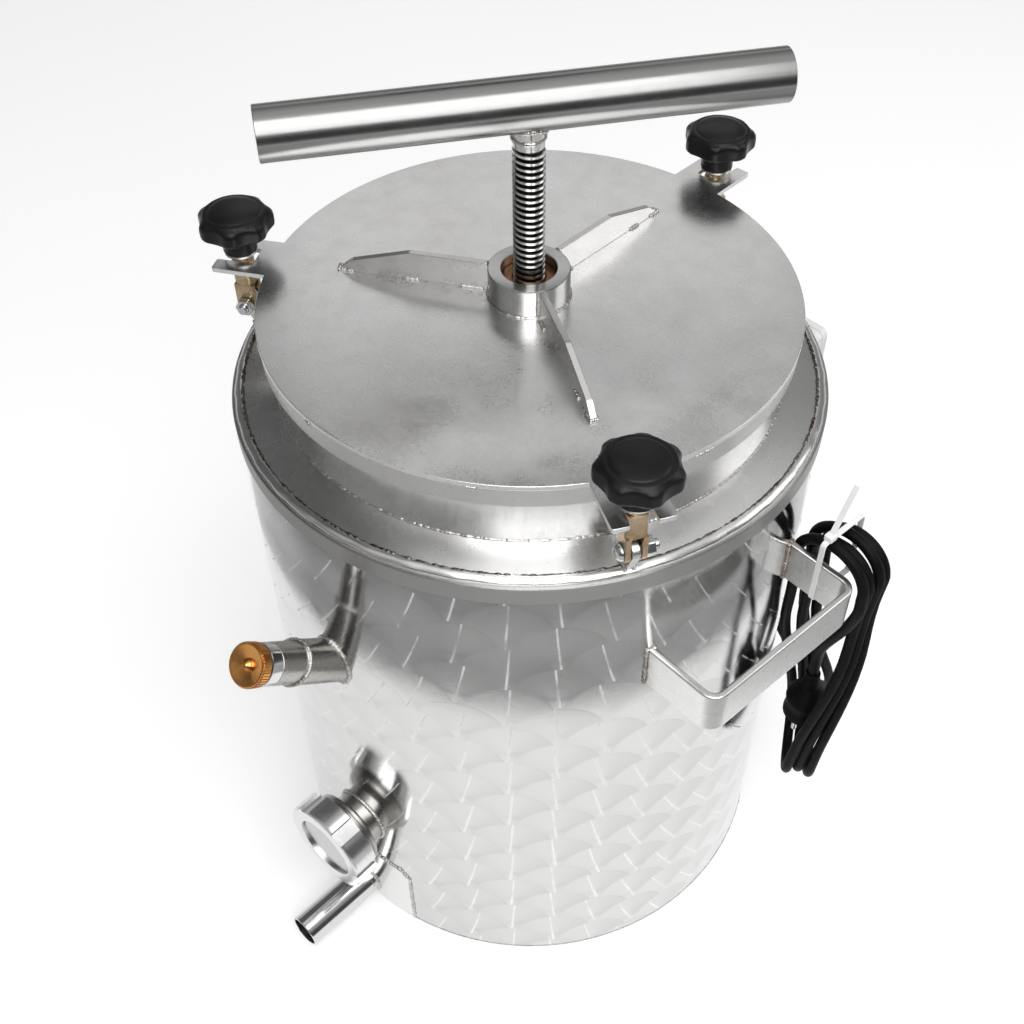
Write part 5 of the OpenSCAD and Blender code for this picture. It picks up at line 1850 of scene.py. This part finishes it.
@dataclass
class ControlBox(Assembly):
    """Control box with its thermostat, switch, lamp and gland, and the heater that it feeds."""

    az: float = 174.0
    w: float = 128.0
    top: float = 446.0
    h: float = 170.0
    corner: float = 7.0
    back: float = 250.0
    face: float = 326.0
    cover_t: float = 8.0
    dial_drop: float = 50.0
    low_drop: float = 118.0
    switch_x: float = 24.0
    lamp_x: float = -30.0
    dial_marks: int = 11
    dial_sweep: float = 270.0
    gland_r: float = 284.0

    def at(self, x: float, r: float, z: float) -> Matrix:
        """Frame on the box, its Z outwards."""
        return around(self.az) @ shift(x, -r, z) @ turned(90, "X")

    def case(self) -> None:
        """Box, cover, screws and bracket."""
        mid, low = self.top - self.h / 2, self.h / 2 - self.low_drop
        deep = self.face - self.cover_t - 0.4 - self.back
        Solid().block(self.w, self.h, deep, self.corner, 1.6, self.at(0, self.back + deep / 2, mid)).piece(
            "box_case", Finishes.PALE, ["control_box"], "box_plastic")
        holes = [moved(rounded_rect(21.2, 28.2, 1.5), self.switch_x, low),
                 moved(ring_outline(3.3, 32), 0, self.h / 2 - self.dial_drop),
                 moved(ring_outline(6.05, 48), self.lamp_x, low)]
        Solid().plate([rounded_rect(self.w, self.h, self.corner), *holes], self.cover_t, 1.5,
                      self.at(0, self.face - self.cover_t / 2, mid), 3).piece(
            "box_lid", Finishes.PALE, ["box_cover"], "box_plastic")
        heads = [(x * (self.w / 2 - 10), y * (self.h / 2 - 10), 0) for x in (-1, 1) for y in (-1, 1)]
        values = {"Radius": 4.0, "Height": 2.1, "Slot": 1.2}
        self.trees.screws.run("box_heads", values, Finishes.ZINC, ["box_screws"], "zinc_steel", "vessel",
                              self.at(0, self.face + 1.05, mid), heads)
        stays = Solid()
        for x in (-46, 46):
            foot = math.sqrt(SHELL_R ** 2 - (abs(x) - 2) ** 2) - 0.2
            outline = [(foot, 296), (self.back, 296), (self.back, 426), (foot, 426)]
            stays.plate([outline], 4.0, 0.5, upright(self.az, x))
        stays.piece("box_stays", Finishes.RIM, ["box_bracket"], "satin_steel")

    def dial(self) -> None:
        """Thermostat knob with its pointer, grip and marks."""
        p = self.at(0, self.face, self.top - self.dial_drop)
        skirt = [(0, 13), (3.06, 13), (3.06, 0.6), (20.4, 0.6), (21, 1.2), (21, 2.8), (20.4, 3.5),
                 (17.4, 3.8), (16.8, 5), (16.2, 14.2), (15.2, 15.4), (0, 15.6)]
        knob = Solid().lathe(skirt, p, loop=False)
        knob.block(4.2, 17.5, 3.0, 1.4, 0.6, p @ shift(0, 9.6, 14.1))
        knob.piece("dial_knob", Finishes.BLACK, ["thermostat_knob"], "black_plastic", "thermostat_knob")
        Solid().block(1.3, 8.5, 0.5, 0.4, 0.15, p @ shift(0, 13.2, 15.65)).piece(
            "dial_pointer", Finishes.MARKS, (), "box_plastic", "thermostat_knob")
        values = {"Count": 36, "Radius": 16.5, "Ridge": (0.9, 1.3, 8.0)}
        self.trees.ring.run("dial_grip", values, Finishes.BLACK, (), "black_plastic", "thermostat_knob",
                            p @ shift(0, 0, 9.0))
        ticks, step = Solid(), self.dial_sweep / (self.dial_marks - 1)
        for k in range(self.dial_marks):
            turn = turned(self.dial_sweep / 2 - step * k, "Z")
            ticks.block(0.9, 3.4 if k % 5 else 5.0, 0.36, 0.3, 0.1, p @ turn @ shift(0, 26, 0.1))
        ticks.piece("dial_ticks", Finishes.BLACK, (), "black_plastic")

    def switch(self) -> None:
        """Rocker in its frame, and the pilot lamp."""
        low_z = self.top - self.low_drop
        s, opening = self.at(self.switch_x, self.face, low_z), rounded_rect(16, 23, 1.0)
        bezel = Solid().plate([rounded_rect(26, 34, 2.5), opening], 2.0, 0.6, s @ shift(0, 0, 1.0))
        bezel.plate([rounded_rect(21, 28, 1.2), opening], 8.0, 0.3, s @ shift(0, 0, -4.0))
        bezel.block(21, 28, 5.8, 1.2, 0.4, s @ shift(0, 0, -11.1))
        bezel.piece("switch_bezel", Finishes.BLACK, ["switch_frame"], "black_plastic")
        side = softened([(4.5, -9.4), (-5.2, -9.9), (-3.2, -2), (-2.6, 1.5), (-2.6, 10.2), (4.5, 9)], 0.8)
        turn = turned(90, "Z") @ turned(90, "X")
        seat = around(self.az) @ shift(self.switch_x, -(self.face - 1), low_z) @ turn
        Solid().plate([side], 15.2, 0.4, seat).piece(
            "switch_rocker", Finishes.RED, ["rocker_switch"], "red_plastic", "rocker_switch")
        lamp = [(0, -22), (6, -22), (6, 0), (7.2, 0), (7.5, 0.4), (7.5, 2.1), (7.0, 2.5), (5.6, 2.6),
                (5.4, 3.6), (4.2, 4.6), (2.2, 5.0), (0, 5.0)]
        Solid().lathe(lamp, self.at(self.lamp_x, self.face, low_z), 64, loop=False).piece(
            "lamp_body", Finishes.LENS, ["pilot_lamp"], "lamp_lens")

    def gland(self) -> None:
        """Cable gland with its ribbed cap nut."""
        p = around(self.az) @ shift(0, -self.gland_r, self.top - self.h - 30)
        body = [(0, 0), (5.6, 0), (6.5, 0.8), (8.2, 5.0), (9.2, 7.6), (9.5, 9), (9.5, 14), (11.1, 14),
                (11.5, 14.4), (11.5, 21), (10.6, 21.4), (10.6, 23), (11.5, 23.4), (11.5, 29.6), (11.1, 30),
                (0, 30)]
        Solid().lathe(body, p, 72, loop=False).piece(
            "gland_body", Finishes.BLACK, ["cable_gland"], "black_plastic")
        values = {"Count": 18, "Radius": 9.6, "Ridge": (1.0, 1.4, 6.0)}
        self.trees.ring.run("gland_ribs", values, Finishes.BLACK, (), "black_plastic", "vessel",
                            p @ shift(0, 0, 11.0))

    def build(self) -> None:
        """Make the box; its inner works keep their solids with a finish."""
        self.case()
        self.dial()
        self.switch()
        self.gland()
        cover("thermostat_body", Finishes.BLACK)
        cover("heating_element", Finishes.HEATER)
        for node in ("thermostat_probe", "basket", "basket_stand"):
            cover(node, Finishes.INSIDE)


@dataclass
class Cord:
    """Power cord from the gland, wound into a hank that a strap ties to the right handle, with its plug."""

    az: float = HANDLE_AZ["handle_right"]
    diameter: float = 9.2
    hank_u: float = 257.0
    hank_t: float = 102.4
    hank_z: float = 322.0
    half_w: float = 27.0
    step: float = 10.2
    run: float = 116.0
    waist: float = 4.0
    waist_up: float = 75.0
    waist_half: float = 40.0
    layer_step: float = 10.0
    twist: float = 55.0
    twist_from_z: float = 412.0
    twist_to_z: float = 190.0
    last_ring: int = 82
    plug_z: float = 300.0
    tie_u: float = 252.0
    tie_near: float = 75.8
    tie_low: float = 417.7
    tie_t: float = 1.4
    tie_w: float = 4.8
    tail: float = 46.0
    tail_lean: float = 26.0

    def route(self) -> list[Point3]:
        """Route from the gland towards the hank: along the wall, outwards as -Y, and up."""
        return [(284, 0, 246), (284, 0, 232), (284, -2, 214), (282, -10, 194), (276, -30, 174),
                (264, -62, 160), (248, -98, 154), (228, -134, 156), (206, -170, 164), (188, -202, 176)]

    def way_in(self) -> list[Point3]:
        """The way into the hank: within its plane, across its layers, and up."""
        return [(-72, 16, 192), (-54, 24, 214), (-40, 26, 240), (-32, 23, 266), (-28, 18, 290)]

    def eased(self, x: float) -> float:
        """A smooth step from 0 to 1."""
        c = min(max(x, 0.0), 1.0)
        return c * c * (3 - 2 * c)

    def in_hank(self, across: float, layer: float, z: float) -> Vector:
        """A point of the hank, which turns about its own middle as it hangs.

        Args:
            across: distance from the hank's middle within its plane.
            layer: distance across its layers.
            z: height.

        Returns:
            The point before the hank is turned to its handle.
        """
        hung = (self.twist_from_z - z) / (self.twist_from_z - self.twist_to_z)
        a = math.radians(self.twist) * self.eased(hung)
        return Vector((self.hank_t - across * math.sin(a) + layer * math.cos(a),
                       -self.hank_u - across * math.cos(a) - layer * math.sin(a), z))

    def width(self, turn: float) -> float:
        """Half width of the loop at a count of turns: out for a turn, then in again."""
        return self.half_w + self.step * (1 - abs(turn % 2 - 1))

    def layer(self, turn: float) -> float:
        """Layer of the loop, climbing one where the spiral reverses."""
        return self.layer_step * (1.5 - sum(self.eased((turn - n + 0.25) / 0.5) for n in (1, 2, 3)))

    def loop_point(self, ring: float) -> Vector:
        """A point of the hank, 24 steps to a loop, from the run beside the shell, upwards.

        Args:
            ring: count of steps from the start of the first loop.

        Returns:
            The point before the hank is turned to its handle.
        """
        turn, k = ring / 24, ring % 24
        w = self.width(turn)
        if k < 2:
            across, up = -w, self.run * k / 2
        elif k < 10:
            a = math.pi * (k - 2) / 8
            across, up = -w * math.cos(a), self.run + w * math.sin(a)
        elif k < 14:
            across, up = w, self.run - 2 * self.run * (k - 10) / 4
        elif k < 22:
            a = math.pi * (k - 14) / 8
            across, up = w * math.cos(a), -self.run - w * math.sin(a)
        else:
            across, up = -w, self.run * (k - 24) / 2
        pull = self.waist * math.exp(-((up - self.waist_up) / self.waist_half) ** 2)
        return self.in_hank(across * (1 - pull / w), self.layer(turn), self.hank_z + up)

    def path(self) -> list[Vector]:
        """The whole centreline.

        Returns:
            Its points in millimetres.
        """
        start = self.loop_point(0)
        points = [Vector(p) for p in self.route()] + [self.in_hank(*p) for p in self.way_in()]
        points.append(start - (self.loop_point(1) - start).normalized() * self.diameter)
        points += [self.loop_point(k / 2) for k in range(2 * self.last_ring + 1)]
        turn, top, drops = self.last_ring / 24, self.hank_z + self.run, 10
        for k in range(1, drops + 1):
            ease = self.eased(k / drops)
            points.append(self.in_hank(self.width(turn) * (1 - ease), self.layer(turn) * (1 - ease * ease),
                                       top + (self.plug_z + self.diameter - top) * k / drops))
        points.append(Vector((self.hank_t, -self.hank_u, self.plug_z)))
        return [around(self.az) @ p for p in points]

    def smoothed(self) -> list[Vector]:
        """The centreline as a smooth curve through its points.

        Returns:
            Its points in metres, two for each stretch.
        """
        points = [p * MM for p in self.path()]
        last = len(points) - 1
        smooth: list[Vector] = []
        for i in range(last):
            a, b, c, d = points[max(i - 1, 0)], points[i], points[i + 1], points[min(i + 2, last)]
            for t in (0.0, 0.5):
                bend, skew = 2 * a - 5 * b + 4 * c - d, 3 * b - a - 3 * c + d
                smooth.append(0.5 * (2 * b + (c - a) * t + bend * t * t + skew * t ** 3))
        return [*smooth, points[-1]]

    def cable(self, plug: Sequence[bpy.types.Object]) -> None:
        """The cable as one smooth curve.

        Args:
            plug: the pieces on its far end; not used.
        """
        curve = bpy.data.curves.new("cable", "CURVE")
        curve.dimensions, curve.use_fill_caps = "3D", True
        curve.bevel_depth, curve.bevel_resolution = self.diameter / 2 * MM, 5
        smooth = self.smoothed()
        spline = curve.splines.new("POLY")
        spline.points.add(len(smooth) - 1)
        for point, p in zip(spline.points, smooth):
            point.co = (*p, 1)
        obj = linked("cable", curve)
        curve.materials.append(Finishes.CORD.material())
        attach(obj, "vessel")
        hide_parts("power_cord", "cord_hank")

    def plug(self) -> list[bpy.types.Object]:
        """Round rubber plug with a ribbed sleeve and two pins.

        Returns:
            The plug's pieces.
        """
        p = around(self.az) @ shift(self.hank_t, -self.hank_u, self.plug_z) @ turned(180, "X")
        body = [(0, 0), (5.9, 0), (6.5, 0.6)]
        for k in range(6):
            z, grow = 2.2 + 3.0 * k, 0.24 * k
            body += [(6.6 + grow, z), (6.7 + grow, z + 1.4), (5.8 + grow, z + 1.7), (5.8 + grow, z + 2.7)]
        body += [(8.0, 20.6), (9.6, 22.4), (13, 26), (16.6, 30.6), (18.2, 34), (18.5, 37), (17.6, 40),
                 (17.4, 46), (17.9, 50), (18.5, 53), (18.5, 57.2), (17.7, 58), (0, 58)]
        shell = Solid().lathe(body, p, 72, loop=False).piece(
            "plug_body", Finishes.PLUG, ["plug"], "cord_rubber")
        pins, pin = Solid(), [(0, 56), (2.4, 56), (2.4, 75.4), (1.6, 76.7), (0, 77)]
        for side in (-9.5, 9.5):
            pins.lathe(pin, p @ shift(side, 0, 0), 32, loop=False)
        return [shell, pins.piece("plug_pins", Finishes.ZINC, (), "zinc_steel")]

    def strap(self) -> None:
        """White strap round the handle's arm and the loops, with its head and tail."""
        base, t = around(self.az) @ shift(0, -self.tie_u, 0), self.tie_t
        near, far = self.tie_near, self.hank_t + 1.5 * self.layer_step + self.diameter / 2 + 1.0
        low, high = self.tie_low, self.hank_z + self.run + self.half_w + self.step + self.diameter / 2 + 1.4
        hoop = rounded_rect(far - near + 2 * t, high - low + 2 * t, 4.5)
        hole = rounded_rect(far - near, high - low, 3.2)
        mid = base @ shift((near + far) / 2, 0, (low + high) / 2) @ turned(90, "X")
        strap = Solid().plate([hoop, hole], self.tie_w, 0.35, mid)
        strap.block(8.0, 7.6, 5.0, 1.2, 0.6, base @ shift(near + 7, 0, high + t + 2.5))
        tail = base @ shift(near + 6, 0, high + t + 2) @ turned(self.tail_lean, "Y")
        strap.block(1.3, self.tie_w, self.tail, 0.3, 0.2, tail @ shift(0.7, 0, self.tail / 2 + 1))
        strap.piece("tie_strap", Finishes.NYLON, ["cable_tie"], "tie_nylon")

    def build(self) -> None:
        """Make the cord and what is on it."""
        self.cable(self.plug())
        self.strap()


def main() -> None:
    """Build the studio and the melter."""
    logging.basicConfig(level=logging.INFO, format="%(name)s: %(message)s")
    Studio().build()
    trees = Trees(ripple_tree(), ring_tree(), thread_tree(), screw_tree())
    Cord().build()
    Vessel(trees).build()
    for name, az in HANDLE_AZ.items():
        Handle(trees, name, az).build()
    for part in (Filler, Outlet, Drain, Lid, Press):
        part(trees).build()
    for side, az in CLAMP_AZ.items():
        Clamp(trees, side, az).build()
    ControlBox(trees).build()


if __name__ == "__main__":
    main()
